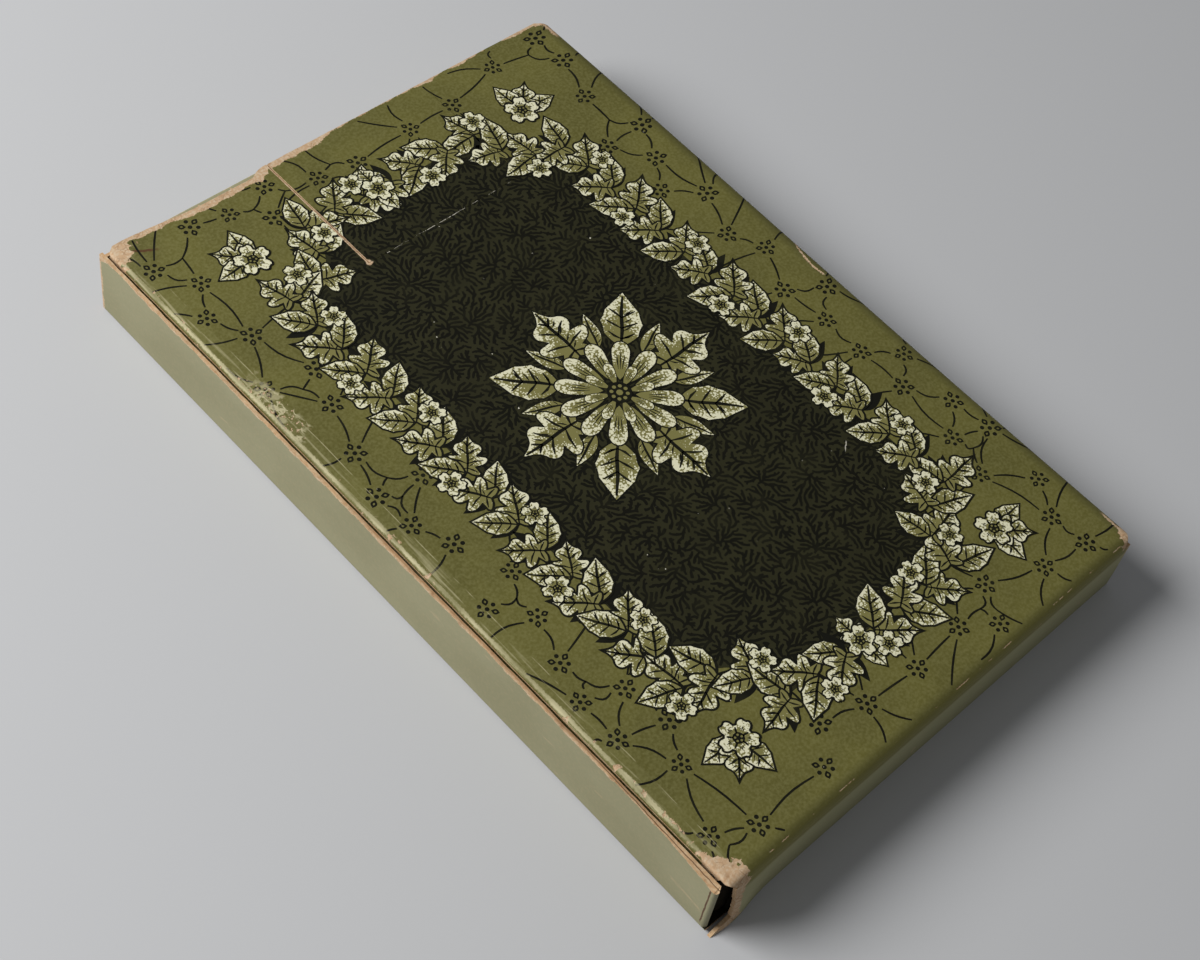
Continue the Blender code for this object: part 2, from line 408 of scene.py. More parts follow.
def makeKraft(s):
    f = Finish("kraft_board")
    fibres = f.grain(4.5, 4.0, (1.0, 0.45, 1.0)).step(0.35, 0.68)
    pulp = f.mix(fibres, "kraft", "fibre")
    pulp = f.mix(f.grain(1.1, 4.0).step(0.56, 0.76) * 0.55, pulp, "kraftDeep")
    onTop = f.z.step(*s["topUp"]) * f.x.step(*s["topLeft"])
    inner = f.x.step(*s["inner"]) * f.y.between(*s["innerSpan"]) * onTop
    middle = (f.y - s["splitFrom"]) * s["splitSlope"] + s["splitAt"]
    split = abs(f.x - middle - f.ripple(1.2, 3.0) * 0.16).step(0.07, 0.03)
    split = split * f.y.step(*s["splitAlong"]) * onTop
    pulp = f.mix(inner * 0.60, pulp, "kraftDeep")
    f.coat(f.mix(split * 0.85, pulp, "crack"), 0.80 + f.grain(3.0) * 0.15, 0.25)
    f.bump(f.grain(7.0, 4.0), 0.35, 0.00006)
    return f.material


# painted shade: near-black board for the faces deep in the torn corner
def makePaintedShadeBoard():
    f = Finish("painted_shade_board")
    f.coat(f.mix(f.grain(2.0, 3.0), "paintedShade", "ink"), 0.95, 0.05)
    return f.material


def makePrintedBoard(s):
    f = Finish("printed_board")
    bare = frontBare(f)
    ground = f.mix(f.grain(0.10, 3.0).step(0.35, 0.65), "olive", "oliveDeep")
    ground = f.mix(f.grain(3.2, 4.0).step(0.30, 0.75) * 0.30, ground, "oliveRubAndSheen")
    # painted sheen: olive lighter within about 2.5 mm of the left fold
    left = f.x - frontLow.x + f.ripple(0.11, 3.0) * 0.4
    ground = f.mix(left.step(2.5, 2.2) * 0.09, ground, "oliveRubAndSheen")
    # painted shade: darker olive along the right fold, and towards the foot fold
    ground = f.mix(fromRight(f).between(*s["paintedFoldShade"]) * 0.7, ground, "paintedFoldShade")
    foot = f.y - frontLow.y
    ground = f.mix(foot.step(*s["paintedFootShade"]) * 0.5, ground, "paintedFoldShade")
    # painted light: the olive print over the foot roll, in a lighter olive
    rollPaintedLight = f.z.step(*(topLevel - drop for drop in s["rollDrop"])) * foot.step(*s["footRoll"])
    ground = f.mix(rollPaintedLight, ground, "oliveEndWithPaintedLight")
    ground = f.mix(frontRub(f), ground, "rubbed")
    along = f.x - s["crackFrom"][0]
    crack = f.y - s["crackFrom"][1] - along * s["crackSlope"] - f.ripple(0.9, 3.0) * 0.6
    span = (0.0, 0.3, s["crackLong"] - s["crackFade"], s["crackLong"])
    crack = abs(crack).step(0.24, 0.10) * along.between(*span)
    ground = f.mix(crack, ground, "crack")
    f.coat(f.mix(bare, ground, tornColour(f)), 0.52 + bare * 0.30 + f.grain(1.4, 3.0) * 0.14, 0.22)
    pulp = f.grain(3.5, 5.0) * bare * 1.4
    f.bump(paperGrain(f) * 0.5 - bare * 1.8 + pulp + f.grain(0.12) * 2.0, 0.5, 0.00005)
    return f.material


def inkFinish(name, tinting, sheen):
    # one ink of the front; where the board is bare, the ink is gone as well
    s = frontWear
    f = Finish(name)
    bare = frontBare(f)
    specks = f.grain(1.9, 1.0).step(0.800, 0.825) * f.grain(0.3, 1.0).step(0.45, 0.60)
    crack = abs(f.y - tongueLow.y + s["creaseUnder"] + f.ripple(0.8, 3.0) * 0.30).step(0.055, 0.015)
    whole = abs(f.x - s["creaseWhole"]).step(3.0, 2.4) * 0.12
    crack = crack * (f.grain(2.2, 3.0, (1.0, 0.1, 1.0)) + whole).step(0.51, 0.60) * 0.85
    crack = crack * abs(f.x - s["creaseMiddle"]).step(*s["creaseHalf"])
    at = s["scratchAt"]
    across = f.y - at[1] - (f.x - at[0]) * s["scratchSlope"]
    scratch = abs(across + f.ripple(2.0, 2.0) * 0.4).step(0.10, 0.04) * f.near(at).step(0.85, 0.45)
    tinted = f.mix(specks.most(crack, scratch * 0.7), tinting(f), "flake")
    tinted = f.mix(frontRub(f) * 0.85, tinted, "rubbed")
    f.coat(f.mix(bare, tinted, tornColour(f)), sheen + bare * 0.25 + f.grain(1.4, 3.0) * 0.14, 0.13)
    f.bump(paperGrain(f) * 0.5 + f.grain(0.12) * 2.0, 0.5, 0.00004)
    return f.material


def blackTint(f):
    return f.mix(f.grain(0.35, 4.0).step(0.45, 0.75) * 0.4, "ink", "inkField")


def sprayTint(f):
    return f.mix(f.grain(0.35, 4.0).step(0.45, 0.75) * 0.3, "inkSpray", "inkField")


def fieldTint(f):
    return f.mix(f.grain(0.25, 4.0).step(0.35, 0.70) * 0.2, "inkField", "ink")


roseShift = 2.0    # flowers are mapped this far aside of the leaves


def stippleTint(f):
    # olive at the stalk or the heart, pale dots closing up towards the tips
    u, v = f.parts(f.place.node("ShaderNodeUVMap", {"uv_map": "drawn"}, {}), 2)
    leafTip = abs(u) * 1.25 + v * 0.55 + u * 0.25
    across = u - roseShift
    roseTip = (across * across + v * v).root() * 1.05
    isRose = u.step(0.9, 1.1)
    tip = (leafTip * (1.0 - isRose) + roseTip * isRose).step(0.12, 0.66)
    dots = f.cells(4.0) - tip * 0.66 - f.ripple(0.8, 2.0) * 0.6
    return f.mix(dots.step(0.10, -0.06), "paleMid", "pale")


# torn left end of the foot panel
tearSettings = {"rise": (0.1, 1.1), "deep": 2.1, "slope": 0.13, "toe": (0.7, 0.0), "toeDeep": 0.55}


def footTear(z):
    # how far the end is torn back at each height
    s = tearSettings
    return ease(z, *s["rise"]) * (s["deep"] - z * s["slope"]) - ease(z, *s["toe"]) * s["toeDeep"]


# wear of the plain sides, and the painted light on the end face: where each face begins, and how far up or
# along each bare edge reaches
plainWear = {
    "endFace": (-46.9, -47.1), "leftFace": (-31.0, -31.2), "sideFace": (31.0, 31.2), "oliveUp": (6.6, 7.4),
    "wallTop": 8.97, "topDrop": 0.7, "dropAlong": (45.2, 46.6), "wallEnd": 46.50, "endUp": (0.2, 0.5),
    "tornAt": -30.85, "tornHigh": (5.5, 8.6), "tornLow": (1.5, 0.4),
    "rightEdge": 30.45, "rightUp": (4.5, 8.0),
    "crestFace": (47.05, 47.20), "crestUp": (7.70, 7.95), "cornerCrack": -45.98, "crackUp": (0.8, 2.0),
}


def makePlainBoard(s):
    f = Finish("plain_board")
    fine, rough, wide = f.ripple(5.0, 2.0), f.ripple(1.3, 4.0), f.ripple(0.6, 4.0)
    onEnd, onLeft = f.y.step(*s["endFace"]), f.x.step(*s["leftFace"])
    cloud = f.grain(0.13, 4.0, (1.0, 0.5, 1.0)).step(0.35, 0.68)
    ground = f.mix(cloud, "sage", "sageDeep")
    ground = f.mix(f.grain(2.6, 4.0).step(0.40, 0.80) * 0.10, ground, "fibre")
    # painted light: the end face, which is in shade, gets lighter copies of the sage board and of its olive
    # print band
    ground = f.mix(onEnd * 0.8, ground, "sageEndWithPaintedLight")
    ground = f.mix(onEnd * f.z.step(*s["oliveUp"]), ground, "oliveEndWithPaintedLight")
    wallTop = f.z - s["wallTop"] + fine * 0.30 + wide * 1.1 + f.y.step(*s["dropAlong"]) * s["topDrop"]
    wallTop = wallTop.step(0.0, 0.08) * onLeft
    wallEnd = (f.y - s["wallEnd"] + fine * 0.4 + rough * 0.6).step(0.0, 0.10)
    wallEnd = wallEnd * f.z.step(*s["endUp"]) * abs(f.x).step(*s["sideFace"])
    reach = 0.80 + f.z.step(*s["tornHigh"]) * 1.3 + f.z.step(*s["tornLow"]) * 1.5
    endTorn = reach + rough * 1.6 + fine * 0.6 - (f.x - s["tornAt"] - footTear(f.z))
    endTorn = endTorn.step(0.0, 0.15) * onEnd
    rightEdge = (f.x - s["rightEdge"] + rough * 0.9).step(0.0, 0.2) * onEnd * f.z.step(*s["rightUp"])
    crest = f.y.step(*s["crestFace"]) * f.z.step(*s["crestUp"])
    crest = crest * (f.grain(0.45, 5.0) + fine * 0.1).step(0.53, 0.57)
    bare = wallTop.most(wallEnd, endTorn, rightEdge, crest)
    crack = abs(f.y - s["cornerCrack"] + rough * 0.25).step(0.12, 0.05) * onLeft
    ground = f.mix(crack * f.z.step(*s["crackUp"]), ground, "crack")
    scuffs = f.grain(0.7, 5.0, (1.0, 0.25, 1.0)).step(0.66, 0.74) * 0.35
    ground = f.mix(scuffs, ground, "fibre")
    f.coat(f.mix(bare, ground, tornColour(f)), 0.58 + bare * 0.25 + f.grain(1.4, 3.0) * 0.12, 0.35)
    f.bump(paperGrain(f) * 0.5 - bare * 1.2 + f.grain(0.15) * 2.0, 0.5, 0.00004)
    return f.material


# ivory stock, with a plain lattice on the back of the top card: half sizes of the lattice and of its frame
cardBack = {
    "pitch": 1.7, "lattice": (26.5, 42.5), "rule": (27.3, 43.3), "ruleEnd": (27.5, 43.5), "up": (7.6, 7.7),
}


def makeCardFinish(s):
    f = Finish("card_stock")

    def within(halfX, halfY):
        return abs(f.x).step(halfX + 0.1, halfX) * abs(f.y).step(halfY + 0.1, halfY)

    waves = [abs(slant.maths("SINE", slant * (math.pi / s["pitch"]))) for slant in (f.x + f.y, f.x - f.y)]
    lattice = waves[0].least(waves[1]).step(0.34, 0.22) * within(*s["lattice"])
    rule = abs(abs(f.x) - s["rule"][0]).least(abs(abs(f.y) - s["rule"][1])).step(0.22, 0.16)
    drawn = lattice.most(rule * within(*s["ruleEnd"]))
    aged = f.mix(f.grain(0.25, 4.0).step(0.4, 0.7), "card", "cardEdge")
    f.coat(f.mix(drawn * f.z.step(*s["up"]), aged, "oliveDeep"), 0.38 + f.grain(2.0, 3.0) * 0.15, 0.4)
    f.bump(f.grain(6.0, 3.0), 0.25, 0.00003)
    return f.material


kraftBoard = makeKraft(kraftWear)
paintedShadeBoard = makePaintedShadeBoard()
printedBoard = makePrintedBoard(frontWear)
plainBoard = makePlainBoard(plainWear)
cardStock = makeCardFinish(cardBack)
darkInk = inkFinish("ink_dark", blackTint, 0.50)
fieldInk = inkFinish("ink_field", fieldTint, 0.52)
sprayInk = inkFinish("ink_spray", sprayTint, 0.50)
paleInk = inkFinish("ink_pale", stippleTint, 0.55)
printed, plain = [printedBoard, kraftBoard], [plainBoard, kraftBoard]
# plain board, with a third slot for painted shade
plainWithShade, inks = plain + [paintedShadeBoard], [darkInk, paleInk]
print("finishes made:", len(bpy.data.materials))


def shift(bm, x, y, z):
    bmesh.ops.translate(bm, vec=(x, y, z), verts=bm.verts[:])


def sheet(u0, u1, v0, v1, step):
    # a flat grid of board, printed side up
    bm = bmesh.new()
    across = max(2, round((u1 - u0) / step))
    along = max(2, round((v1 - v0) / step))
    bmesh.ops.create_grid(bm, x_segments=across, y_segments=along, size=0.5)
    bmesh.ops.scale(bm, vec=(u1 - u0, v1 - v0, 1.0), verts=bm.verts[:])
    shift(bm, (u0 + u1) / 2, (v0 + v1) / 2, 0.0)
    return bm


def cut(bm, point, normal, clear=False):
    geom = bm.verts[:] + bm.edges[:] + bm.faces[:]
    bmesh.ops.bisect_plane(
        bm, geom=geom, dist=1e-5, plane_co=(*point, 0.0), plane_no=(*normal, 0.0), clear_outer=clear
    )


def cutAt(bm, axis, where):
    cut(bm, (where, 0.0) if axis == 0 else (0.0, where), (1.0, 0.0) if axis == 0 else (0.0, 1.0))


def dropFaces(bm, test):
    faces = [face for face in bm.faces if test(face.calc_center_median())]
    bmesh.ops.delete(bm, geom=faces, context="FACES")


def thicken(bm, thickness=board):
    # bare board on every face but the printed one
    grown = bmesh.ops.extrude_face_region(bm, geom=bm.faces[:])
    moved = [item for item in grown["geom"] if isinstance(item, bmesh.types.BMVert)]
    bmesh.ops.translate(bm, vec=(0.0, 0.0, -thickness), verts=moved)
    bmesh.ops.recalc_face_normals(bm, faces=bm.faces[:])
    for face in bm.faces:
        face.material_index = 0 if face.normal.z > 0.5 else 1


def printSide(bm, axis, where):
    # a crease, not a cut: its sides keep the print
    for face in bm.faces:
        if all(abs(vert.co[axis] - where) < 1e-4 for vert in face.verts):
            face.material_index = 0


def paintShade(bm, test):
    # painted shade: near black on the faces that look into the torn corner
    bm.normal_update()
    for face in bm.faces:
        if test(face.calc_center_median(), face.normal):
            face.material_index = 2


def rollLines(bm, axis, start, reach, count=5):
    for n in range(count):
        cutAt(bm, axis, start + reach * n / count)


def foldLines(bm, axis, edge, sign, radius):
    rollLines(bm, axis, edge - sign * radius, sign * radius * quarterTurn)


def roll(bm, axis, edge, sign, radius):
    # bends the strip past the fold line down round a quarter turn
    start = edge - sign * radius
    for vert in bm.verts:
        past = sign * (vert.co[axis] - start)
        if past > 0.0:
            turn = min(past / radius, quarterTurn)
            own = radius + vert.co.z
            vert.co[axis] = start + sign * own * math.sin(turn)
            vert.co.z = own * math.cos(turn) - radius


def ragged(bm, axis, edge, amount, seed, pitch):
    # eats into a cut edge unevenly
    inward = -1.0 if edge > 0 else 1.0
    for vert in bm.verts:
        if abs(vert.co[axis] - edge) < 1e-4:
            where = Vector((vert.co[1 - axis] * pitch, seed, vert.co.z * 2.0))
            vert.co[axis] += inward * amount * abs(noise.noise(where))


def sagBy(bm):
    # the front dips a little beside its left fold
    s = frontSettings
    for vert in bm.verts:
        past = max(0.0, s["sagReach"] - (vert.co.x - frontLow.x)) / s["sagReach"]
        vert.co.z += -s["sag"] * past * past


def flareOut(bm):
    for vert in bm.verts:
        vert.co.x += flareAt(vert.co)


def stand(bm, origin, across, along=(0.0, 0.0, 1.0)):
    # lays the flat piece on its wall: u across, v along, printed side outwards
    u, v = Vector(across), Vector(along)
    turn = Matrix.Identity(4)
    for column, direction in enumerate((u, v, u.cross(v), Vector(origin))):
        for row in range(3):
            turn[row][column] = direction[row]
    bmesh.ops.transform(bm, matrix=turn, verts=bm.verts[:])


def piece(name, bm, finishes, body, replaced=None, sharp=32.0):
    bmesh.ops.scale(bm, vec=(mm, mm, mm), verts=bm.verts[:])
    mesh = bpy.data.meshes.new(name)
    bm.to_mesh(mesh)
    bm.free()
    for finish in finishes:
        mesh.materials.append(finish)
    mesh.shade_smooth()
    mesh.set_sharp_from_angle(angle=math.radians(sharp))
    made = link(name, mesh)
    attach(made, body)
    if replaced:
        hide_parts(replaced)


def makeFront(s):
    leftEdge, mouth = frontLow.x + s["seamGap"], frontHigh.y
    folds = (
        (0, leftEdge, -1.0, s["rollLeft"]),
        (0, frontHigh.x, 1.0, s["rollRight"]),
        (1, frontLow.y, -1.0, s["rollFoot"]),
    )
    left, right, foot = (edge + sign * radius * rollExtra for axis, edge, sign, radius in folds)
    bm = sheet(left, right, foot, mouth, s["step"])
    for fold in folds:
        foldLines(bm, *fold)
    slotLeft, slotRight = tongueLow.x - s["slit"], tongueHigh.x + s["slit"]
    slotFoot = tongueLow.y - s["crease"]
    for axis, where in ((0, slotLeft), (0, slotRight), (1, slotFoot)):
        cutAt(bm, axis, where)
    dropFaces(bm, lambda c: slotLeft < c.x < slotRight and c.y > slotFoot)
    corners = {
        "footRight": (frontHigh.x, frontLow.y), "footLeft": (frontLow.x, frontLow.y),
        "mouthLeft": (left, mouth), "mouthRight": (frontHigh.x, mouth),
    }
    for corner, (inset, normal) in s["blunt"].items():
        x, y = corners[corner]
        cut(bm, (x + inset[0], y + inset[1]), normal, True)
    thicken(bm)
    printSide(bm, 1, slotFoot)
    printSide(bm, 0, slotRight)
    for vert in bm.verts:
        if abs(vert.co.y - mouth) < 1e-4:
            where = Vector((vert.co.x * s["bitePitch"], s["biteSeed"], 0.0))
            vert.co.y -= recedeAt(vert.co.x) + s["mouthBite"] * abs(noise.noise(where))
    sagBy(bm)
    for fold in folds:
        roll(bm, *fold)
    shift(bm, 0.0, 0.0, topLevel)
    flareOut(bm)
    piece("front_board", bm, printed, "carton", "front_panel")

    tongueEdge = tongueHigh.x + s["slitClose"]
    bm = sheet(tongueLow.x, tongueEdge, tongueLow.y, tongueHigh.y, s["step"])
    thicken(bm)
    printSide(bm, 1, tongueLow.y)
    printSide(bm, 0, tongueEdge)
    ragged(bm, 1, tongueHigh.y, s["mouthBite"], s["tongueSeed"], s["bitePitch"])
    shift(bm, 0.0, 0.0, topLevel)
    piece("tongue_board", bm, printed, "thumb_tongue", "thumb_tongue")


makeFront(frontSettings)
print("front and tongue made")

# walls, back and flaps: u runs across the panel, v along it
panelSettings = {
    "step": 0.9, "footStep": 0.7, "backRoll": 0.60, "endRoll": 0.45,
    "topFray": 0.20, "fraySeed": 8.3, "frayPitch": 1.6, "wallPast": 0.38,
    "wallLean": 0.75, "leanFrom": -34.0, "leanInner": 0.10,
    "footFlare": 0.55, "footReach": 6.0, "bulgeAt": 2.4, "bulgeWide": 3.0, "bulgeBelow": 4.0,
    "jag": 0.25, "jagPitch": 1.4, "jagSeed": 2.0,
    "footSpread": 0.60, "spreadFrom": 26.0, "spreadUp": (8.0, 1.0),
    "rootDent": 1.6, "dentReach": 2.2, "dustTaper": 2.0, "glueTaper": 4.0,
    # last line: how far the painted shade reaches near the torn corner
    "shadeReach": 4.5, "innerShadeReach": 2.0, "backShadeReach": (5.0, 3.0),
}


def makeWalls(s):
    low, high = boxMm("left_wall")
    top = high.z
    end, turn = s["wallPast"] - low.y, s["endRoll"]
    bm = sheet(-high.y, end + turn * rollExtra, s["backRoll"], top, s["step"])
    foldLines(bm, 0, end, 1.0, turn)
    thicken(bm)
    ragged(bm, 1, top, s["topFray"], s["fraySeed"], s["frayPitch"])
    inner = {vert for vert in bm.verts if vert.co.z < -board / 2}
    roll(bm, 0, end, 1.0, turn)
    for vert in bm.verts:
        past = max(0.0, vert.co.x + s["leanFrom"]) / (end + s["leanFrom"])
        rise = vert.co.y / top
        vert.co.z += s["wallLean"] * past * past * rise * (s["leanInner"] if vert in inner else 1.0)
    stand(bm, (low.x, 0.0, 0.0), (0.0, -1.0, 0.0))
    piece("left_wall_board", bm, plain, "carton", "left_wall")

    low, high = boxMm("right_wall")
    bm = sheet(low.y, high.y, s["backRoll"], topLevel - frontSettings["rollRight"], s["step"])
    thicken(bm)
    stand(bm, (high.x, 0.0, 0.0), (0.0, 1.0, 0.0))
    flareOut(bm)
    piece("right_wall_board", bm, plain, "carton", "right_wall")

    low, high = boxMm("back_panel")
    folds = ((0, high.x, 1.0, s["backRoll"]), (0, low.x, -1.0, s["backRoll"]))
    edge = high.x + s["backRoll"] * rollExtra
    bm = sheet(-edge, edge, low.y, high.y, s["step"])
    for fold in folds:
        foldLines(bm, *fold)
    thicken(bm)
    for fold in folds:
        roll(bm, *fold)
    stand(bm, (0.0, 0.0, 0.0), (-1.0, 0.0, 0.0), (0.0, 1.0, 0.0))
    shadeX, shadeY = s["backShadeReach"]
    # painted shade on the back's inner faces near the torn corner
    paintShade(bm, lambda c, n: c.x < low.x + shadeX and c.y < low.y + shadeY and n.x + n.z > 0.4)
    piece("back_board", bm, plainWithShade, "carton", "back_panel")


def makeFootEnd(s):
    low, high = boxMm("bottom_outer_panel")
    top = topLevel - frontSettings["rollFoot"]
    bm = sheet(low.x, high.x, low.z, top, s["footStep"])
    tornPart = low.x + s["footReach"]
    close = [edge for edge in bm.edges if all(vert.co.x < tornPart for vert in edge.verts)]
    bmesh.ops.subdivide_edges(bm, edges=close, cuts=1, use_grid_fill=True)
    thicken(bm)
    for vert in bm.verts:
        past = vert.co.x - low.x
        jag = noise.noise(Vector((vert.co.y * s["jagPitch"], s["jagSeed"], 0.0))) * s["jag"]
        near = max(0.0, 1.0 - past / s["footReach"]) ** 2
        away = (past - s["bulgeAt"]) / s["bulgeWide"]
        bulge = math.exp(-away ** 2) * ease(vert.co.y, top, s["bulgeBelow"])
        vert.co.x += near * (footTear(vert.co.y) + jag)
        reach = s["footSpread"] * ease(vert.co.x, s["spreadFrom"], high.x)
        vert.co.x += reach * ease(vert.co.y, *s["spreadUp"])
        vert.co.z += s["footFlare"] * bulge
    stand(bm, (0.0, low.y, 0.0), (1.0, 0.0, 0.0))
    # painted shade on the inner faces by the torn end
    paintShade(bm, lambda c, n: c.x < low.x + s["shadeReach"] and n.y > 0.3)
    piece("foot_outer_board", bm, plainWithShade, "carton", "bottom_outer_panel")

    low, high = boxMm("bottom_inner_flap")
    bm = sheet(low.x, high.x, low.z, high.z, s["step"])
    thicken(bm)
    stand(bm, (0.0, low.y, 0.0), (1.0, 0.0, 0.0))
    # painted shade on the flap's torn end
    paintShade(bm, lambda c, n: c.x < low.x + s["innerShadeReach"])
    piece("foot_inner_board", bm, plainWithShade, "carton", "bottom_inner_flap")


def makeDustFlap(name, outward, replaced, s):
    # a tapered flap; its printed side faces out of the carton
    low, high = boxMm(replaced)
    face = high.y if outward > 0 else low.y
    flip = -outward
    edges = sorted((flip * low.x, flip * high.x))
    bm = sheet(edges[0], edges[1], low.z, high.z, s["step"])
    rootRight = low.x + high.x > 0.0
    tip = edges[0] if (flip > 0) == rootRight else edges[1]
    side = 1.0 if tip == edges[1] else -1.0
    taper = s["dustTaper"]
    slope = Vector((taper, edges[1] - edges[0])).normalized()
    cut(bm, (tip, high.z - taper), (side * slope.x, slope.y), True)
    cut(bm, (tip, low.z + taper), (side * slope.x, -slope.y), True)
    rollLines(bm, 0, -side * max(abs(edges[0]), abs(edges[1])), side * s["dentReach"])
    thicken(bm)
    stand(bm, (0.0, face, 0.0), (flip, 0.0, 0.0))
    if name == "foot_dust_left":    # its fold gave way at the torn corner
        for vert in bm.verts:
            past = max(0.0, low.x + s["dentReach"] - vert.co.x) / s["dentReach"]
            vert.co.y += s["rootDent"] * past * past
        # painted shade on the flap near its root
        paintShade(bm, lambda c, n: c.x < low.x + s["shadeReach"])
    piece(name, bm, plainWithShade, "carton", replaced)


def makeFlaps(s):
    for side in ("left", "right"):
        makeDustFlap(f"mouth_dust_{side}", 1.0, f"lid_dust_flap_{side}", s)
        makeDustFlap(f"foot_dust_{side}", -1.0, f"bottom_dust_flap_{side}", s)
    low, high = boxMm("glue_flap")
    front, taper = frontSettings, s["glueTaper"]
    bm = sheet(-high.y, -low.y, low.z, topLevel - front["rollLeft"] - front["sag"], s["step"])
    rise = high.z - low.z
    cut(bm, (-high.y + taper, low.z), (-rise, -taper), True)
    cut(bm, (-low.y - taper, low.z), (rise, -taper), True)
    thicken(bm)
    stand(bm, (low.x + front["seamGap"] + front["sag"], 0.0, 0.0), (0.0, -1.0, 0.0))
    piece("glue_flap_board", bm, printed, "carton", "glue_flap")


# lid and its tuck flap, each on its own crease
lidSettings = {"step": 0.9, "roll": 0.30, "rollSteps": 4, "tuckCorner": 4.0, "tuckSteps": 10}


def soften(bm, geom, offset, segments, affect="EDGES"):
    bmesh.ops.bevel(
        bm, geom=geom, offset=offset, offset_type="OFFSET", affect=affect,
        segments=segments, profile=0.5, material=-1
    )


def roundFold(bm, where, s):
    # rounds the printed corner along one straight fold
    def onFold(vert):
        return abs(vert.co.y - where) < 1e-4 and abs(vert.co.z) < 1e-4

    soften(bm, [edge for edge in bm.edges if all(map(onFold, edge.verts))], s["roll"], s["rollSteps"])


def makeLid(s):
    low, high = boxMm("lid_panel")
    bm = sheet(-high.x, -low.x, low.z, high.z, s["step"])
    thicken(bm)
    roundFold(bm, low.z, s)
    stand(bm, (0.0, high.y, 0.0), (-1.0, 0.0, 0.0))
    piece("lid_board", bm, plain, "lid", "lid_panel")

    low, high = boxMm("tuck_flap")
    bm = sheet(low.x, high.x, low.y, high.y, s["step"])
    for sign, x in ((-1.0, low.x), (1.0, high.x)):
        centre = Vector((x - sign * s["tuckCorner"], low.y + s["tuckCorner"]))
        for n in range(s["tuckSteps"] + 1):
            turn = quarterTurn * n / s["tuckSteps"]
            normal = (sign * math.sin(turn), -math.cos(turn))
            cut(bm, centre + Vector(normal) * s["tuckCorner"], normal, True)
    thicken(bm)
    printSide(bm, 1, high.y)
    roundFold(bm, high.y, s)
    shift(bm, 0.0, 0.0, high.z)
    piece("tuck_board", bm, plain, "tuck_flap", "tuck_flap")


makeWalls(panelSettings)
makeFootEnd(panelSettings)
makeFlaps(panelSettings)
makeLid(lidSettings)
print("walls, foot end, flaps and lid made")

# the print: inks lie on the board as thin layers, a few thousandths of a millimetre apart
printSettings = {
    "seed": 7, "middleX": 0.25, "fieldHalf": (19.2, 36.6), "scoop": 7.4, "fieldPitch": 0.9,
    "fieldLevel": 0.006, "sprayLevel": 0.010, "borderLevel": 0.006, "garlandLevel": 0.016,
    "levelStep": 0.0016, "levels": 24,
    "spraySeeds": 260, "sprayMargin": 0.2, "sprayStep": 0.38, "sprayApart": 0.43, "sprayLong": 5,
    "sprayTries": 9, "spraySwing": 0.45, "sprayFork": 0.85, "sprayWidth": 0.31, "sprayTaper": 0.35,
    "sprayLevels": 11, "sprayLift": 0.0005,
}


def outline(points, detail=3):
    # a smooth closed shape as one flat face; sharp knots are marked "v"
    curve = bpy.data.curves.new("outline", "CURVE")
    curve.dimensions = "2D"
    curve.fill_mode = "BOTH"
    curve.resolution_u = detail
    spline = curve.splines.new("BEZIER")
    spline.bezier_points.add(len(points) - 1)
    spline.use_cyclic_u = True
    for knot, (x, y, kind) in zip(spline.bezier_points, points):
        knot.co = (x, y, 0.0)
        knot.handle_left_type = knot.handle_right_type = "VECTOR" if kind == "v" else "AUTO"
    holder = bpy.data.objects.new("outline", curve)
    mesh = bpy.data.meshes.new_from_object(holder)
    bm = bmesh.new()
    bm.from_mesh(mesh)
    bmesh.ops.dissolve_faces(bm, faces=bm.faces[:])
    bpy.data.objects.remove(holder)
    bpy.data.curves.remove(curve)
    bpy.data.meshes.remove(mesh)
    return faceUp(bm)


def faceUp(bm):
    bm.normal_update()
    for face in bm.faces:
        if face.normal.z < 0.0:
            face.normal_flip()
    return bm


def tint(bm, index):
    for face in bm.faces:
        face.material_index = index
    return bm


def mapped(bm, aside=0.0):
    # keeps the drawn place of each point, for the stipple
    layer = bm.loops.layers.uv.new("drawn")
    for face in bm.faces:
        for loop in face.loops:
            loop[layer].uv = (loop.vert.co.x + aside, loop.vert.co.y)
    return bm


def add(layer, bm, matrix=None):
    # copies a drawn shape into a layer, moved by the matrix
    mesh = bpy.data.meshes.new("stamp")
    bm.to_mesh(mesh)
    if matrix:
        mesh.transform(matrix)
    layer.from_mesh(mesh)
    bpy.data.meshes.remove(mesh)


def drawOn(bm, strokes, index, lift):
    # lays finished strokes over a shape
    add(bm, tint(strokes, index), placed(0.0, 0.0, level=lift))
    strokes.free()


def penLine(points, width, taper):
    # one stroke of the pen: an edge across its start is extruded along it
    bm = bmesh.new()
    points = [Vector(point) for point in points]
    last = len(points) - 1
    edge = None
    for n, point in enumerate(points):
        ahead = points[min(n + 1, last)] - points[max(n - 1, 0)]
        across = Vector((-ahead.y, ahead.x)).normalized()
        half = width / 2 * (1.0 - taper * abs(2.0 * n / last - 1.0) ** 2)
        pair = (point + across * half, point - across * half)
        if edge is None:
            ends = [bm.verts.new((*spot, 0.0)) for spot in pair]
            edge = bm.edges.new(ends)
            continue
        grown = bmesh.ops.extrude_edge_only(bm, edges=[edge])["geom"]
        fresh = [item for item in grown if isinstance(item, bmesh.types.BMVert)]
        ends = sorted(fresh, key=lambda vert: (vert.co - ends[0].co).length)
        for vert, spot in zip(ends, pair):
            vert.co = (*spot, 0.0)
        edge = next(
            item for item in grown if isinstance(item, bmesh.types.BMEdge) and set(item.verts) == set(fresh)
        )
    return faceUp(bm)


def disc(radius, segments=8):
    bm = bmesh.new()
    bmesh.ops.create_circle(bm, cap_ends=True, segments=segments, radius=radius)
    return faceUp(bm)


